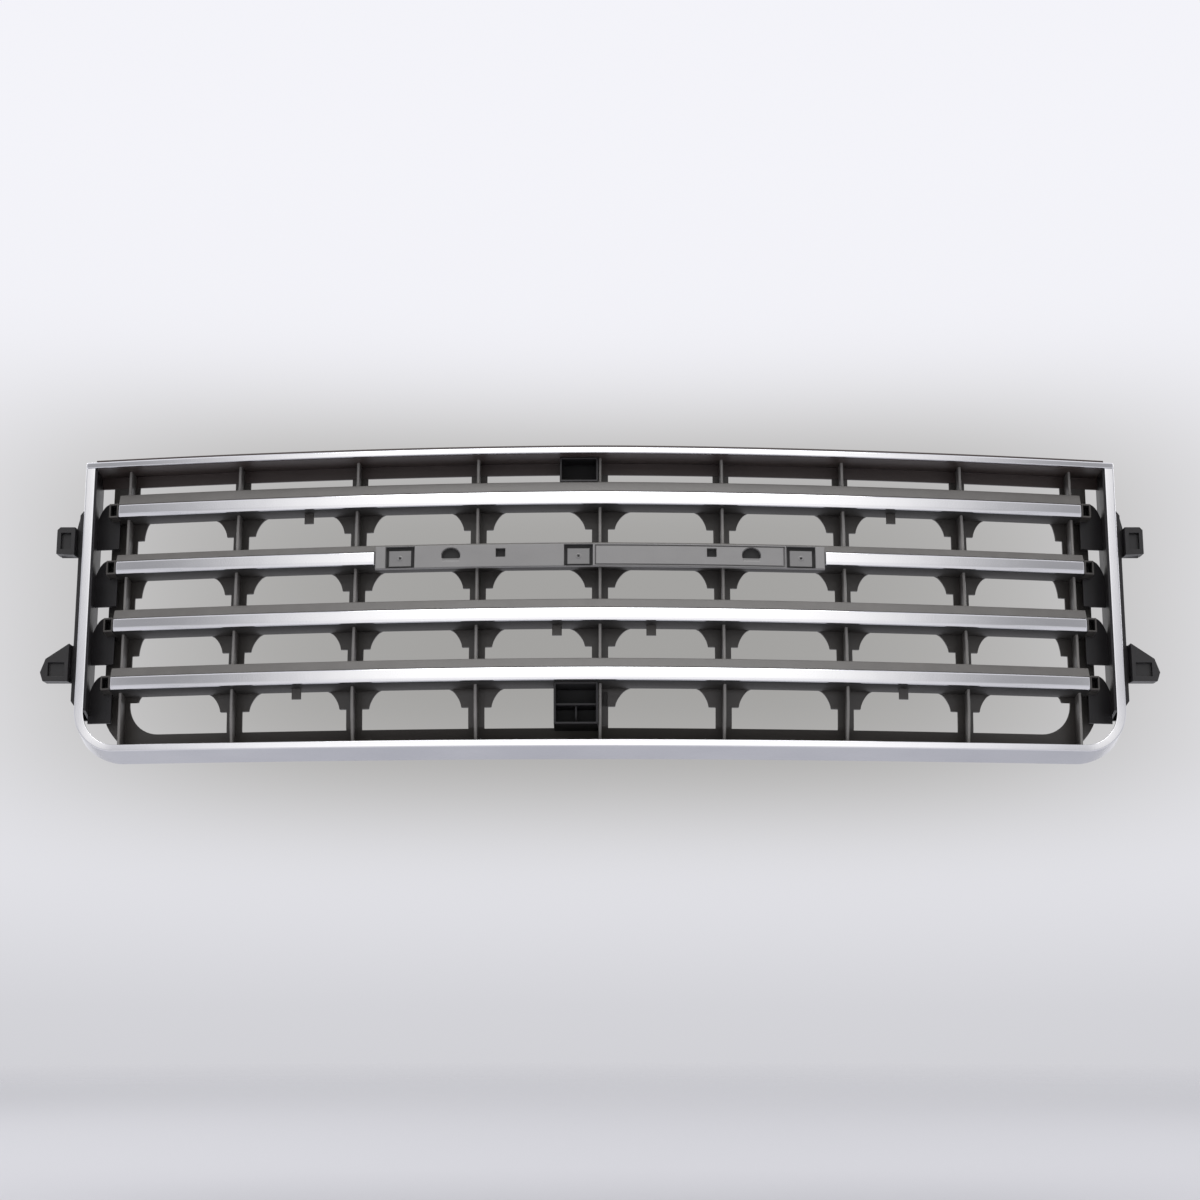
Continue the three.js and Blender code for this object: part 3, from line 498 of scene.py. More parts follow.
# each plastic finish: name, colour, dust, colour of the painted highlight, roughness, grain
GREY = moulded_finish("grey_moulding", (0.062, 0.057, 0.052, 1.0), (0.30, 0.29, 0.27, 1.0),
                      (0.30, 0.29, 0.275, 1.0), 0.38, 0.35)
BLACK = moulded_finish("black_moulding", (0.014, 0.013, 0.014, 1.0), (0.12, 0.115, 0.11, 1.0),
                       (0.06, 0.06, 0.06, 1.0), 0.36, 0.35)
BROWN_BLACK = moulded_finish("header_moulding", (0.062, 0.047, 0.043, 1.0), (0.14, 0.13, 0.12, 1.0),
                             (0.06, 0.055, 0.05, 1.0), 0.40, 0.35)
PLATE = moulded_finish("plate_moulding", (0.265, 0.26, 0.255, 1.0), (0.42, 0.41, 0.40, 1.0),
                       (0.40, 0.39, 0.38, 1.0), 0.46, 0.30)
ZINC = zinc_finish()


# ---- bright mouldings ----------------------------------------------------------------------------


def surround():
    """The section of the moulding carried down one side, round both lower corners and up the other side.
    A point of the section lies some way in from the outer line, along the line's inward direction. The face
    of the lower run stands upright."""
    turn = np.linspace(0, 0.5 * math.pi, 15)
    side_z = stations(HEIGHT - TOP_FACE - GAP, CORNER_RADIUS, 10.0)[:-1]
    bottom_x = stations(HALF_WIDTH - CORNER_RADIUS, 0.0, 8.0)[1:]
    corner_x = HALF_WIDTH - CORNER_RADIUS * (1 - np.cos(turn))
    corner_z = CORNER_RADIUS * (1 - np.sin(turn))
    x = np.concatenate([HALF_WIDTH + 0 * side_z, corner_x, bottom_x])
    z = np.concatenate([side_z, corner_z, 0 * bottom_x])
    angle = np.concatenate([0 * side_z, turn, 0.5 * math.pi + 0 * bottom_x])
    share = angle / (0.5 * math.pi)
    face = SIDE_FACE + (BOTTOM_FACE - SIDE_FACE) * share * share * (3 - 2 * share)
    section = soften([[0, 0], [0, RETURN_DEPTH], [SKIN, RETURN_DEPTH], [SKIN, SKIN + FACE_SLOPE],
                      [SIDE_FACE, SKIN + FACE_SLOPE], [SIDE_FACE, FACE_SLOPE]],
                     [1.4, 0.5, 0.5, 0.6, 0.5, 1.0], 4)
    beyond = np.clip(section[:, 0] - SKIN, 0, None) / (SIDE_FACE - SKIN)
    inset = np.minimum(section[:, 0], SKIN) + beyond * (face[:, None] - SKIN)
    half = np.stack([x[:, None] - inset * np.cos(angle)[:, None],
                     np.broadcast_to(section[:, 1], inset.shape),
                     z[:, None] + inset * np.sin(angle)[:, None]], -1)
    other = half[-2::-1] * [-1, 1, 1]
    whole = np.concatenate([half, other])
    x, y, z = np.moveaxis(whole, -1, 0)
    return shell(place(x, y, z, np.maximum(z, BOTTOM_FACE)))


def surround_end():
    """The outer wall's upper end, behind the strip along the top, on the right-hand side."""
    low = HEIGHT - TOP_FACE - 2 * LAP
    return upright(HALF_WIDTH - SKIN, HALF_WIDTH, SKIN + GAP, RETURN_DEPTH, low, HEIGHT, 0.5)


def strip(section, end_section, x0, x1, radius, middle, rear):
    """A trim: its section carried from x0 to x1, changing to the end section near the ends of the grille, and
    drawn in towards its back over the last radius at each end, along a quarter circle."""
    ends = radius * (1 - np.cos(np.linspace(0, 0.5 * math.pi, 6)))
    x = np.concatenate([x0 + ends, stations(x0 + radius, x1 - radius)[1:-1], (x1 - ends)[::-1]])
    near = np.clip(radius - np.minimum(x - x0, x1 - x), 0, radius)
    drawn = (radius - np.sqrt(radius ** 2 - near ** 2))[:, None]
    changed = np.interp(np.abs(x), BEVEL_GROWS, (0, 1))[:, None, None]
    y, z = np.moveaxis(section + changed * (end_section - section), -1, 0)
    share = (rear - y) / (rear - section[:, 0].min())
    half_height = 0.5 * np.ptp(section[:, 1])
    return shell(place(x[:, None], y + drawn * share, z - drawn * 0.7 * (z - middle) / half_height))


UPPER_BEVEL = 1.4  # heights of the slopes along a trim's upper and lower edge, and their depth
LOWER_BEVEL = 3.0
BEVEL_DEPTH = 1.5
SHALLOW_BEVEL = 0.3  # the depth of the lower slope along the middle of the bar
BEVEL_GROWS = (405.0, 455.0)  # it deepens between these distances from the centre line
TRIM_LEAN = 0.3
TRIM_END_RADIUS = 1.4


def trim_section(bar, lower_depth):
    """A trim's outline in (y, z): a nearly upright face between two slopes, and a flat back."""
    top, bottom, rear = trim_top(bar), trim_bottom(bar), BAR_FRONT - GAP
    sloping = TRIM_FRONT + BEVEL_DEPTH
    corners = [[rear, bottom], [TRIM_FRONT + lower_depth, bottom], [TRIM_FRONT, bottom + LOWER_BEVEL],
               [TRIM_FRONT + TRIM_LEAN, top - UPPER_BEVEL], [sloping, top], [rear, top]]
    return soften(corners, [0.2, 0.5, 0.9, 0.7, 0.5, 0.2], 4)


def trim(bar, x0, x1):
    middle = 0.5 * (trim_top(bar) + trim_bottom(bar))
    sections = trim_section(bar, SHALLOW_BEVEL), trim_section(bar, BEVEL_DEPTH)
    return strip(*sections, x0, x1, TRIM_END_RADIUS, middle, BAR_FRONT - GAP)


def top_strip():
    """The strip along the top, which laps over the upper ends of the surround."""
    low = HEIGHT - TOP_FACE
    corners = [[1.0, HEIGHT], [0, HEIGHT - 1.0], [0, low], [SKIN, low], [SKIN, HEIGHT]]
    section = soften(corners, [0.4, 0.5, 0.9, 0.4, 0.3], 4)
    middle = HEIGHT - 0.5 * TOP_FACE
    return strip(section, section, -HALF_WIDTH, HALF_WIDTH, TRIM_END_RADIUS, middle, SKIN)


# ---- black frame ---------------------------------------------------------------------------------

HEADER_RIB_PITCH = RIB_PITCH / 2
HEADER_RIB_HALF = 0.9
HEADER_RIB_DEPTH = 12.0
HEADER_RIB_DROP = 1.5


def header():
    """A shelf over the windows with a lip in front and a web hanging from it, and small ribs on top that
    stiffen the lip."""
    half = SIDE_WALL_X + 0.5 * WALL
    front = SKIN + GAP
    shelf = CEILING + WALL
    lip = HEIGHT + HEADER_LIP
    section = [[front, CEILING], [front, lip], [front + WALL, lip], [front + WALL, shelf],
               [HEADER_REAR, shelf], [HEADER_REAR, CEILING], [WEB_REAR, CEILING], [WEB_REAR, WINDOW_TOP],
               [WEB_FRONT, WINDOW_TOP], [WEB_FRONT, CEILING]]
    parts = [sweep(soften(section, 0.6, 2), -half, half)]
    behind = front + WALL
    farthest = (RIB_COUNT - 1) * HEADER_RIB_PITCH
    for x in stations(-farthest, farthest, HEADER_RIB_PITCH):
        parts.append(upright(x - HEADER_RIB_HALF, x + HEADER_RIB_HALF, behind - LAP,
                             behind + HEADER_RIB_DEPTH, shelf - LAP, lip - HEADER_RIB_DROP, 0.4))
    return parts


def rail():
    """A floor strip behind the surround and the upright wall at the windows' lower edge."""
    front, over = SKIN + GAP, RAIL_FLOOR + WALL
    half = HALF_WIDTH - CORNER_RADIUS
    floor = [[front, RAIL_FLOOR], [RETURN_DEPTH, RAIL_FLOOR], [RETURN_DEPTH, over], [front, over]]
    foot = RAIL_FLOOR + 2 * LAP
    wall = [[WEB_FRONT, foot], [WEB_REAR, foot], [WEB_REAR, RAIL_TOP], [WEB_FRONT, RAIL_TOP]]
    return [sweep(soften(floor, 0.6, 2), -half, half), sweep(soften(wall, 0.7, 3), -FOOT_X, FOOT_X)]


ARM_FRONT = 26.0
ARM_REAR = 29.0
ARM_DROP = 28.0
ARM_RISE = 6.0
ARM_FALL = 18.0
ARM_FALL_POWER = 2.6
ARM_UNDER = 8.0


def arm(bar):
    """The web between a bar's end and the side wall, which also reaches in under the bar. Beyond the bar its
    top edge falls away as a power of the distance."""
    beyond = stations(BAR_HALF_LENGTH + GAP, SIDE_WALL_X + 1, 1.6)
    share = (beyond - beyond[0]) / (beyond[-1] - beyond[0])
    under = [beyond[0] - ARM_UNDER, beyond[0] - 0.05]
    x = np.concatenate([under, beyond])
    falling = trim_top(bar) + ARM_RISE - ARM_FALL * share ** ARM_FALL_POWER
    top = np.concatenate([[trim_bottom(bar) + LAP] * 2, falling])
    low = trim_bottom(bar) - ARM_DROP + 0 * x
    return ribbon(np.stack([x, low], -1), np.stack([x, top], -1), ARM_FRONT, ARM_REAR)


def side_wall():
    """The wall beside the lattice, its rear flange and the four arms, on the right-hand side."""
    wall = upright(SIDE_WALL_X, SIDE_WALL_X + WALL, SKIN + GAP, FLANGE_FRONT + 2 * LAP,
                   SIDE_WALL_BOTTOM, CEILING + 2 * LAP)
    low = SIDE_WALL_BOTTOM + 2
    cut_back = FLANGE_EDGE - FLANGE_CHAMFER
    edge_z = np.array([low, low + FLANGE_BEND, FLANGE_TOP - FLANGE_BEND, FLANGE_TOP, CEILING - 2])
    edge_x = np.array([cut_back, FLANGE_EDGE, FLANGE_EDGE, cut_back, SIDE_WALL_X + 5])
    z = np.sort(np.concatenate([edge_z, stations(edge_z[1], edge_z[2], 20.0)[1:-1]]))
    outer = np.stack([np.interp(z, edge_z, edge_x), z], -1)
    inner = np.stack([SIDE_WALL_X + 0.5 * WALL + 0 * z, z], -1)
    return [wall, ribbon(inner, outer, FLANGE_FRONT, FLANGE_REAR), *(arm(bar) for bar in BARS)]


# ---- grey lattice --------------------------------------------------------------------------------

SOCKET_DEPTH = 11.0  # of the square sockets at the bars' ends
SOCKET_PROUD = 1.5
SOCKET_WALL = 1.7
LOCATING_TABS = {1: (-291.0, 291.0), 3: (-42.0, 50.0), 4: (-298.0, 298.0)}
LOCATING_TAB_WIDTH = 9.5
LOCATING_TAB_DROP = 10.0
LOCATING_TAB_FRONT = 24.0
STIFFENER_PITCH = RIB_PITCH / 3
STIFFENER_HALF = 0.8
STIFFENER_SETBACK = 4.0


def bar_channel(bar):
    """An open-backed channel: front wall behind the trim, sloping shoulder above it, and two flanges. Gives
    the section and its relief: a painted highlight on the shoulder and painted shade under and inside the
    channel."""
    top, bottom = trim_top(bar), trim_bottom(bar)
    over = shoulder_top(bar)
    ledge = BAR_FRONT + LEDGE_DEPTH
    corners = [[BAR_FRONT, bottom], [BAR_REAR, bottom], [BAR_REAR, bottom + WALL],
               [BAR_FRONT + WALL, bottom + WALL], [BAR_FRONT + WALL, top - LEDGE_RISE],
               [ledge + SHOULDER_SLOPE + WALL, over - WALL], [BAR_REAR, over - WALL], [BAR_REAR, over],
               [ledge + SHOULDER_SLOPE, over], [ledge, top + LEDGE_RISE], [BAR_FRONT, top]]
    radii = [0.8, 0.7, 0.7, 0.5, 0.5, 0.8, 0.7, 0.9, 1.2, 0.6, 0.6]
    # per corner: painted shade below zero, painted highlight on the shoulder above zero
    relief = [-1, -0.3, 0, -0.2, -0.2, -0.2, 0, 0, 0.34, 0.34, -0.9]
    return soften(corners, radii, 3), np.repeat(relief, 4)


def cross_bar(bar):
    """The channel, a square socket open to the front at each end, and the stiffeners inside the channel."""
    top, bottom = trim_top(bar), trim_bottom(bar)
    section, relief = bar_channel(bar)
    channel_end = TRIM_HALF_LENGTH + 0.6
    parts = [sweep(section, -channel_end, channel_end, relief)]
    end = pocket(TRIM_HALF_LENGTH + 0.4, BAR_HALF_LENGTH, bottom, top + 1, BAR_FRONT - SOCKET_PROUD,
                 BAR_FRONT + SOCKET_DEPTH, BAR_REAR, SOCKET_WALL)
    parts += [end, mirrored(end)]
    front = BAR_FRONT + LEDGE_DEPTH + SHOULDER_SLOPE + WALL
    low, high = bottom + 0.5 * WALL, shoulder_top(bar) - 0.5 * WALL
    farthest = BAR_HALF_LENGTH - STIFFENER_PITCH
    for x in stations(-farthest, farthest, STIFFENER_PITCH):
        parts.append(upright(x - STIFFENER_HALF, x + STIFFENER_HALF, front, BAR_REAR - STIFFENER_SETBACK,
                             low, high, 0.3))
    return parts


def locating_tab(bar, x):
    """A small square tab under a bar, with a pale edge."""
    bottom = trim_bottom(bar)
    half = 0.5 * LOCATING_TAB_WIDTH
    depth = LOCATING_TAB_FRONT, LOCATING_TAB_FRONT + WALL
    return upright(x - half, x + half, *depth, bottom - LOCATING_TAB_DROP, bottom + 0.2, 0.5)


def flange_rows(head):
    """The half width of a rib's rear flange from top to bottom, as (z, half width): a narrow strip that
    widens into a gusset under each bar. The gusset's edge is the curve 1 - (1 - t^p)^(1/p), with t from 0 at
    its foot to 1 at its head."""
    rows = [(WINDOW_TOP - GAP, RIB_FLANGE)]
    t = np.linspace(1, 0, 10)
    arch = 1 - (1 - t ** GUSSET_CURVE) ** (1 / GUSSET_CURVE)
    for bar in BARS:
        over = shoulder_top(bar) - 1
        foot = trim_bottom(bar) + 1 - GUSSET_HEIGHT
        rows += [(over, RIB_FLANGE), (over - 0.1, head)]
        rows += [(foot + GUSSET_HEIGHT * a, GUSSET_FOOT + (head - GUSSET_FOOT) * b) for a, b in zip(t, arch)]
        rows += [(foot - 0.5, GUSSET_FOOT - 0.4), (foot - 0.6, RIB_FLANGE)]
    rows += [(z, RIB_FLANGE) for z in (*CHIN_HEIGHTS[:0:-1], RAIL_TOP - 2 * LAP)]
    return np.array(rows)


FRONT_EDGE_HIGHLIGHT = np.array([1, 1, 0.4, 0, 0, 0, 0, 0.4])  # relief round a rib's wall: a painted highlight along its front edge


def stems(x):
    """The narrow upright wall of a rib, in one stretch for each row of windows."""
    x0, x1 = x - 0.5 * RIB_THICK, x + 0.5 * RIB_THICK
    over = [CEILING + LAP] + [trim_bottom(bar) + LAP for bar in BARS]
    under = [shoulder_top(bar) - LAP for bar in BARS] + [RAIL_FLOOR + WALL - LAP]
    return [upright(x0, x1, RIB_FRONT, WEB_FRONT + 2 * LAP, low, high, 0.7, FRONT_EDGE_HIGHLIGHT)
            for low, high in zip(under, over)]


def middle_rib(rib):
    """A rib's upright walls and the flange with gussets behind them. The centre rib's gussets are wider."""
    x = rib_x(rib)
    z, half = flange_rows(CENTRE_GUSSET_HEAD if x == 0 else GUSSET_HEAD).T
    flange = ribbon(np.stack([x - half, z], -1), np.stack([x + half, z], -1), WEB_FRONT, WEB_REAR)
    return [flange, *stems(x)]


def end_rib():
    """The right-hand outermost rib: its inner side has gussets, its outer side is plain, and its foot turns
    inwards along two quarter circles and runs into the rail."""
    z, half = flange_rows(END_RIB_HEAD).T
    straight = z > RAIL_TOP + FOOT_RADIUS
    z, half = z[straight], half[straight]
    inner = np.stack([END_RIB_X + RIB_FLANGE - END_RIB_INNER - half, z], -1)
    outer = np.stack([END_RIB_X + END_RIB_OUTER + 0 * z, z], -1)
    turn = np.linspace(0, 0.5 * math.pi, 13)
    wide = FOOT_RADIUS + END_RIB_OUTER - END_RIB_INNER
    low = RAIL_TOP - FOOT_DROP
    foot_inner = np.stack([END_RIB_X - END_RIB_INNER - FOOT_RADIUS * (1 - np.cos(turn)),
                           RAIL_TOP + FOOT_RADIUS * (1 - np.sin(turn))], -1)
    foot_outer = np.stack([END_RIB_X + END_RIB_OUTER - wide * (1 - np.cos(turn)),
                           low + wide * (1 - np.sin(turn))], -1)
    left = np.concatenate([inner, foot_inner, [[FOOT_X - 2, RAIL_TOP]]])
    right = np.concatenate([outer, foot_outer, [[FOOT_X - 2, low]]])
    return [ribbon(left, right, WEB_FRONT, WEB_REAR), *stems(END_RIB_X)]


# ---- badge plate ---------------------------------------------------------------------------------

BADGE_POCKETS = [-196.0, -21.0, 197.0]
BADGE_ARCHES = [-146.0, 148.0]
BADGE_SQUARES = [-97.0, 109.0]
BADGE_PANEL = (-5.0, 181.0)  # a panel outlined by a groove

SUNK_HALF = 14.0  # a pocket: its half width, and half the width of the pad on its floor
PAD_HALF = 11.2
SUNK_DEPTH = 3.6
PAD_RISE = 2.4
PIN_RADIUS = 2.6
PIN_RISE = 0.9
PIN_HOLE_RADIUS = 1.6
PIN_HOLE_DEPTH = 2.2
PIN_DROP = 1.0
ARCH_HALF_WIDTH = 9.0
ARCH_HEIGHT = 8.0
ARCH_LIP_DEPTH = 1.2
SQUARE_HALF = 4.5
HOLE_DEPTH = 4.2
GROOVE_WIDTH = 1.1
GROOVE_DEPTH = 1.5
PLATE_EDGE_RADIUS = 0.7
PLATE_FLOOR = 0.3  # what is left behind the deepest hole


def box_mask(x, z, x0, x1, z0, z1, edge=0.35):
    """1 inside a rectangle and 0 outside it, with a straight slope so wide as edge."""
    inside = np.minimum(np.minimum(x - x0, x1 - x), np.minimum(z - z0, z1 - z))
    return np.clip(inside / edge + 0.5, 0, 1)


def badge_relief(x, z, low, high):
    """The depth of the plate's front face at (x, z): pockets with a pad and a hollow pin, half-round holes
    with a flat lower side, square holes, and the groove round a panel."""
    middle = 0.5 * (low + high)
    depth = 0 * x
    for at in BADGE_POCKETS:
        sunk = box_mask(x, z, at - SUNK_HALF, at + SUNK_HALF, low + 0.9, high - 0.9)
        pad = box_mask(x, z, at - PAD_HALF, at + PAD_HALF, low + 1.9, high - 4.4, 0.6)
        from_pin = np.hypot(x - at, z - middle + PIN_DROP)
        pin = np.clip(PIN_RADIUS - from_pin, 0, 1)
        hole = np.clip(PIN_HOLE_RADIUS - from_pin, 0, 1)
        depth = depth + sunk * SUNK_DEPTH - pad * PAD_RISE - pin * PIN_RISE + hole * PIN_HOLE_DEPTH
    for at in BADGE_ARCHES:
        round_part = 1 - np.hypot((x - at) / ARCH_HALF_WIDTH, (z - middle - 0.5) / ARCH_HEIGHT)
        inside = np.minimum(ARCH_HEIGHT * round_part, z - (middle - 1.5))
        lip = box_mask(x, z, at - 8, at + 8, middle - 4.6, middle - 1.6, 0.8)
        depth = depth + np.clip(inside / 0.5 + 0.5, 0, 1) * HOLE_DEPTH + lip * ARCH_LIP_DEPTH
    for at in BADGE_SQUARES:
        square = box_mask(x, z, at - SQUARE_HALF, at + SQUARE_HALF, middle - 1.0, middle + 7.0)
        depth = depth + square * HOLE_DEPTH
    x0, x1 = BADGE_PANEL
    panel = box_mask(x, z, x0, x1, low + 1.2, high - 1.2)
    inside = box_mask(x, z, x0 + GROOVE_WIDTH, x1 - GROOVE_WIDTH, low + 2.1, high - 2.1)
    return depth + (panel - inside) * GROOVE_DEPTH


def badge_plate():
    """A front face whose depth follows badge_relief(), closed by a flat rear face with the same outline. Its
    edge is rounded along a quarter circle."""
    low = 0.5 * (trim_top(BADGE_BAR) + trim_bottom(BADGE_BAR)) - 0.5 - 0.5 * BADGE_HEIGHT
    high = low + BADGE_HEIGHT
    rear = BAR_FRONT - GAP
    x = stations(-BADGE_HALF_LENGTH, BADGE_HALF_LENGTH, 0.75)
    z = stations(low, high, 0.5)
    grid_x, grid_z = np.meshgrid(x, z, indexing="ij")
    rim = np.minimum(np.minimum(grid_x + BADGE_HALF_LENGTH, BADGE_HALF_LENGTH - grid_x),
                     np.minimum(grid_z - low, high - grid_z))
    radius = PLATE_EDGE_RADIUS
    rounding = radius - np.sqrt(radius ** 2 - np.clip(radius - rim, 0, radius) ** 2)
    relief = badge_relief(grid_x, grid_z, low, high)
    depth = BADGE_FRONT + rounding + np.minimum(relief, rear - BADGE_FRONT - PLATE_FLOOR)
    edge = np.array([[rear, high], [rear, low]])
    rows_y = np.concatenate([depth, np.broadcast_to(edge[:, 0], (len(x), 2))], 1)
    rows_z = np.concatenate([grid_z, np.broadcast_to(edge[:, 1], (len(x), 2))], 1)
    # painted shade that deepens with the depth of a hole or pocket
    sunk = np.clip((depth - BADGE_FRONT - 0.8) / 2.0, 0, 1)
    return shell(place(x[:, None], rows_y, rows_z), np.concatenate([-sunk, 0 * sunk[:, :2]], 1))


# ---- centre boxes --------------------------------------------------------------------------------

BOX_FRONT = 14.0
BOX_WALL = 2.0
SHELF_FRONT = 20.0
DIVIDER_FRONT = 24.0


def centre_box(node, shelf):
    """A black pocket beside the centre rib, open to the front, with or without a shelf."""
    low, high = (np.array(corner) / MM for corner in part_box(node))
    z0, z1 = low[2] - SHIFT_Z, high[2] - SHIFT_Z
    drop = FLARE * BOX_FRONT * (1 - z0 / HEIGHT)
    z0, z1 = z0 + drop, z1 + drop
    x0, x1 = low[0], high[0]
    parts = [pocket(x0, x1, z0, z1, BOX_FRONT, BAR_REAR - BOX_WALL, BAR_REAR, BOX_WALL)]
    if shelf:
        centre, middle = 0.5 * (x0 + x1), 0.5 * (z0 + z1)
        rear = BAR_REAR - 1
        section = [[SHELF_FRONT, middle - 1], [rear, middle - 1],
                   [rear, middle + 1], [SHELF_FRONT, middle + 1]]
        # the shelf gets a little painted shade
        parts.append(sweep(soften(section, 0.4, 2), x0 + 1, x1 - 1, -0.3))
        parts.append(upright(centre - 1, centre + 1, DIVIDER_FRONT, rear, z0 + 1, middle))
    return parts


# ---- mounting tabs and screws --------------------------------------------------------------------

def softened_copy(node, name, width, finish, slot):
    """A merged copy of a node with its sharp edges rounded by the given width."""
    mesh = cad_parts[node].data.copy()
    mesh.name = name
    draft = bmesh.new()
    draft.from_mesh(mesh)
    bmesh.ops.remove_doubles(draft, verts=draft.verts, dist=1e-5)
    bmesh.ops.dissolve_limit(draft, angle_limit=math.radians(2), verts=draft.verts, edges=draft.edges)
    draft.to_mesh(mesh)
    draft.free()
    piece = bpy.data.objects.new(name, mesh)
    bpy.context.scene.collection.objects.link(piece)
    rounding = piece.modifiers.new("rounded_edges", "BEVEL")
    rounding.width = width * MM
    rounding.segments = 2
    rounding.limit_method = "ANGLE"
    rounding.angle_limit = math.radians(30)
    return dress(piece, finish, slot, node)


SHANK_RADIUS = 1.15
HEAD_HEIGHT = 2.5
SLOT_DEPTH = 1.1
SLOT_HALF_WIDTH = 0.17  # as a part of the head's radius, like the slots' reach
SLOT_REACH = 0.6


def screw(node, head_radius, length, turn):
    """A pan-head screw along its own axis: a lathed profile whose head is pressed in along two crossed slots.
    The profile is (distance along the axis, radius); the axis leans with the bow."""
    low, high = (np.array(corner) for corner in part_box(node))
    centre = 0.5 * (low + high) / MM
    under = length - HEAD_HEIGHT
    profile = np.array([[0.0, 0.05], [0.4, 0.9], [under - 0.1, SHANK_RADIUS], [under, head_radius - 0.2],
                        [under + 0.2, head_radius], [length - 1.5, head_radius],
                        [length - 0.8, 0.86 * head_radius], [length - 0.3, 0.62 * head_radius],
                        [length - 0.1, 0.40 * head_radius], [length - 0.05, 0.24 * head_radius],
                        [length, 0.05]])
    angle = np.linspace(0, 2 * math.pi, 33)[:-1]
    along, radius = profile[:, :1], profile[:, 1:]
    side, up = radius * np.cos(angle), radius * np.sin(angle)
    slot = np.minimum(np.abs(side), np.abs(up))
    on_head = (along > length - 1.0) & (radius < SLOT_REACH * head_radius)
    pressed = SLOT_DEPTH * np.clip(1 - slot / (SLOT_HALF_WIDTH * head_radius), 0, 1)
    along = along - np.where(on_head, pressed, 0) - 0.5 * length
    c, s = math.cos(turn), math.sin(turn)
    turned = np.stack([side * c - along * s, side * s + along * c, up], -1)
    return shell((centre + turned) * MM)


def lean(x, z):
    """The slope of the nose at (x, z), as an angle about the upright."""
    step = 1.0
    return math.atan2(bow(x - step, z) - bow(x + step, z), 2 * step)


# ---- assembly ------------------------------------------------------------------------------------

def build_mouldings():
    parts = [surround(), surround_end(), mirrored(surround_end())]
    make_piece("surround", parts, CHROME, "bright_chrome", "surround_moulding")
    make_piece("top_strip", [top_strip()], CHROME, "bright_chrome", "top_moulding")
    half = TRIM_HALF_LENGTH
    inner = BADGE_HALF_LENGTH + 0.8
    for bar in BARS:
        if bar == BADGE_BAR:
            for side, x0, x1 in (("left", -half, -inner), ("right", inner, half)):
                make_piece(f"trim_{bar}_{side}", [trim(bar, x0, x1)], CHROME, "bright_chrome",
                           f"bright_trim_{bar}_{side}")
        else:
            make_piece(f"trim_{bar}", [trim(bar, -half, half)], CHROME, "bright_chrome", f"bright_trim_{bar}")


def build_frame():
    make_piece("header", header(), BROWN_BLACK, "black_plastic", "header_rail")
    make_piece("rail", rail(), GREY, "grey_plastic", "bottom_rail")
    wall = side_wall()
    make_piece("wall_right", wall, BLACK, "black_plastic", "right_side_wall")
    make_piece("wall_left", [mirrored(part) for part in wall], BLACK, "black_plastic", "left_side_wall")
    for level in ("upper", "lower"):
        node = f"{level}_centre_box"
        make_piece(f"{level}_pocket", centre_box(node, level == "lower"), BLACK, "black_plastic", node)
        for side in ("left", "right"):
            node = f"{level}_{side}_mount_tab"
            softened_copy(node, f"tab_{level}_{side}", 0.6, BLACK, "black_plastic")


def build_lattice():
    for bar in BARS:
        make_piece(f"bar_{bar}", cross_bar(bar), GREY, "grey_plastic", f"cross_bar_{bar}")
    for bar, places in LOCATING_TABS.items():
        for side, x in zip(("left", "right"), places):
            tab = locating_tab(bar, x)
            make_piece(f"bar_tab_{bar}_{side}", [tab], GREY, "grey_plastic", f"locating_tab_{bar}_{side}")
    for rib in range(2, RIB_COUNT):
        make_piece(f"rib_{rib}", middle_rib(rib), GREY, "grey_plastic", f"upright_rib_{rib}")
    make_piece(f"rib_{RIB_COUNT}", end_rib(), GREY, "grey_plastic", f"upright_rib_{RIB_COUNT}")
    make_piece("rib_1", [mirrored(part) for part in end_rib()], GREY, "grey_plastic", "upright_rib_1")
    make_piece("plate", [badge_plate()], PLATE, "plate_plastic", "badge_plate")


TAB_SCREW = (4.5, 5.4)  # head radius and length
TRIM_SCREW = (3.8, 6.2)


def build_screws():
    for node in sorted(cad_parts):
        if "screw" not in node:
            continue
        low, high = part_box(node)
        x, z = 0.5 * (low.x + high.x) / MM, 0.5 * (low.z + high.z) / MM
        on_tab = "tab" in node
        turn = 0.0 if on_tab else lean(x, z - SHIFT_Z)
        head_radius, length = TAB_SCREW if on_tab else TRIM_SCREW
        make_piece(f"fixing_{node}", [screw(node, head_radius, length, turn)], ZINC, "zinc_steel", node)


# ---- stage ---------------------------------------------------------------------------------------

CAMERA_TARGET = (0.0, 0.0034, 0.0077)
CAMERA_DISTANCE = 2.0
CAMERA_DROP = math.radians(11.5)
FLOOR_Z = -0.60
FLOOR_RADIUS = 9.0
FLOOR_PAINT = (0.59, 0.59, 0.61, 1.0)
FADE_START = 1.0
FADE_LENGTH = 5.0


def build_camera():
    """A camera in front, a little below the grille and looking up at it."""
    camera = bpy.data.objects.new("camera", bpy.data.cameras.new("camera"))
    bpy.context.scene.collection.objects.link(camera)
    x, y, z = CAMERA_TARGET
    back, down = CAMERA_DISTANCE * math.cos(CAMERA_DROP), CAMERA_DISTANCE * math.sin(CAMERA_DROP)
    camera.location = (x, y - back, z - down)
    camera.rotation_euler = (0.5 * math.pi + CAMERA_DROP, 0.0, 0.0)
    camera.data.sensor_width = 36.0
    camera.data.lens = 60.0
    bpy.context.scene.camera = camera


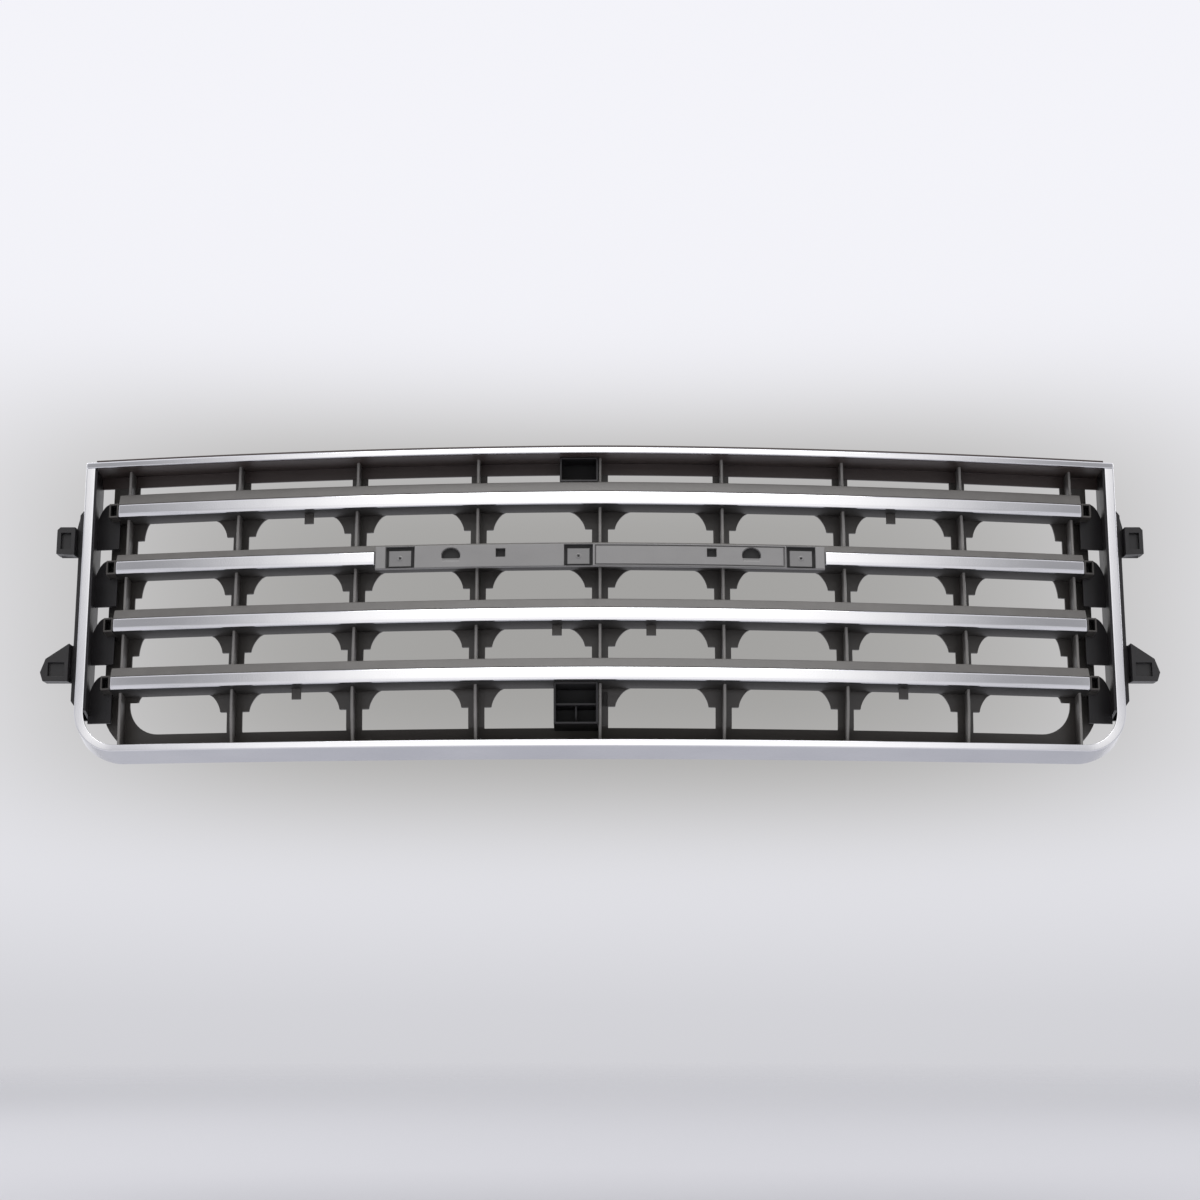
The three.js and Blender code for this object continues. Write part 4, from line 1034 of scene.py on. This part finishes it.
def build_floor():
    """A round floor whose edge fades into the surroundings."""
    mesh = bpy.data.meshes.new("floor")
    angle = np.linspace(0, 2 * math.pi, 97)[:-1]
    rim = np.stack([FLOOR_RADIUS * np.cos(angle), FLOOR_RADIUS * np.sin(angle), FLOOR_Z + 0 * angle], -1)
    mesh.from_pydata(rim.tolist(), [], [list(range(len(rim)))])
    floor = bpy.data.objects.new("floor", mesh)
    bpy.context.scene.collection.objects.link(floor)
    material, board = new_finish("studio_floor")
    here = board.add("ShaderNodeTexCoord", output="Object")
    away = board.add("ShaderNodeVectorMath", {"operation": "LENGTH"}, {0: here}, output="Value")
    solid = board.add("ShaderNodeBsdfPrincipled", {}, {"Base Color": FLOOR_PAINT, "Roughness": 0.8})
    clear = board.add("ShaderNodeBsdfTransparent")
    fade = ((away - FADE_START) / FADE_LENGTH).limited()
    mixed = board.add("ShaderNodeMixShader", {}, {0: fade, 1: solid, 2: clear})
    board.add_output("ShaderNodeOutputMaterial", mixed)
    mesh.materials.append(material)


def falloff(a, b):
    """Nearly 1 where a and b are small and 0 where they are large: e to the minus (a squared plus b
    squared)."""
    return a.board.add("ShaderNodeMath", {"operation": "EXPONENT"}, {0: 0.0 - (a * a + b * b)})


def build_surroundings():
    """A pale studio, by direction: a wide bright window in front with a dark flag on either side of it,
    duller far sides, and a soft shade straight behind. Each is a falloff(): of the cube of x for the window,
    of its square for the flags, and of the squares of x and of the height for the shade."""
    world = bpy.data.worlds.new("studio")
    bpy.context.scene.world = world
    world.use_nodes = True
    board = Board(world.node_tree)
    direction = board.add("ShaderNodeTexCoord", output="Generated")
    x, y, z = (board.add("ShaderNodeSeparateXYZ", {}, {0: direction}, output=axis) for axis in "XYZ")
    base = board.ramp(0.5 + 0.5 * z, [(0.0, 0.60), (0.46, 0.64), (0.5, 0.69), (0.53, 0.80), (0.57, 0.90),
                                      (0.7, 0.95), (1.0, 0.95)])
    above = (z * 6.0).limited()
    ahead = (0.0 - y * 4.0).limited()
    behind = (y * 4.0).limited()
    square = x * x
    window = falloff(square * x / 0.47 ** 3, (z - 0.30) / 0.30) * ahead
    flags = falloff((square - 0.30) / 0.17, (z - 0.27) / 0.20) * ahead
    height = (z - 0.19) / 0.10
    shade = falloff(square / 0.29 ** 2, height * height) * behind
    sides = ((square - 0.60) / 0.3).limited() * above
    level = base * (1.0 - shade * 0.60) * (1.0 - sides * 0.35) * (1.0 - ahead * above * 0.25)
    level = level * (1.0 - flags * 0.54) + window * 0.58
    tint = board.blend(window.limited(), (0.95, 0.95, 1.0, 1.0), (1.0, 0.99, 0.98, 1.0))
    tint = board.blend(shade.limited(), tint, (1.0, 0.985, 0.96, 1.0))
    background = board.add("ShaderNodeBackground", {}, {"Color": tint, "Strength": level})
    board.add_output("ShaderNodeOutputWorld", background)


def add_softbox(name, spot, target, size, power):
    light = bpy.data.objects.new(name, bpy.data.lights.new(name, "AREA"))
    light.data.shape = "RECTANGLE"
    light.data.size, light.data.size_y = size
    light.data.energy = power
    spot, target = np.array(spot), np.array(target)
    away = spot - target
    light.location = spot
    flat = math.hypot(away[0], away[1])
    light.rotation_euler = (math.atan2(flat, away[2]), 0.0, math.atan2(away[0], -away[1]))
    bpy.context.scene.collection.objects.link(light)


def build_lights():
    add_softbox("overhead", (0.0, -1.05, 1.82), (0, 0, 0), (1.8, 1.0), 20.0)
    add_softbox("rear_left", (-1.6, 1.8, 1.2), (0, 0, 0), (1.2, 1.2), 12.0)
    add_softbox("rear_right", (1.8, 1.5, 0.8), (0, 0, 0), (1.0, 1.0), 6.0)


build_camera()
build_mouldings()
build_frame()
build_lattice()
build_screws()
build_floor()
build_surroundings()
build_lights()
bpy.context.scene.view_settings.view_transform = "Standard"
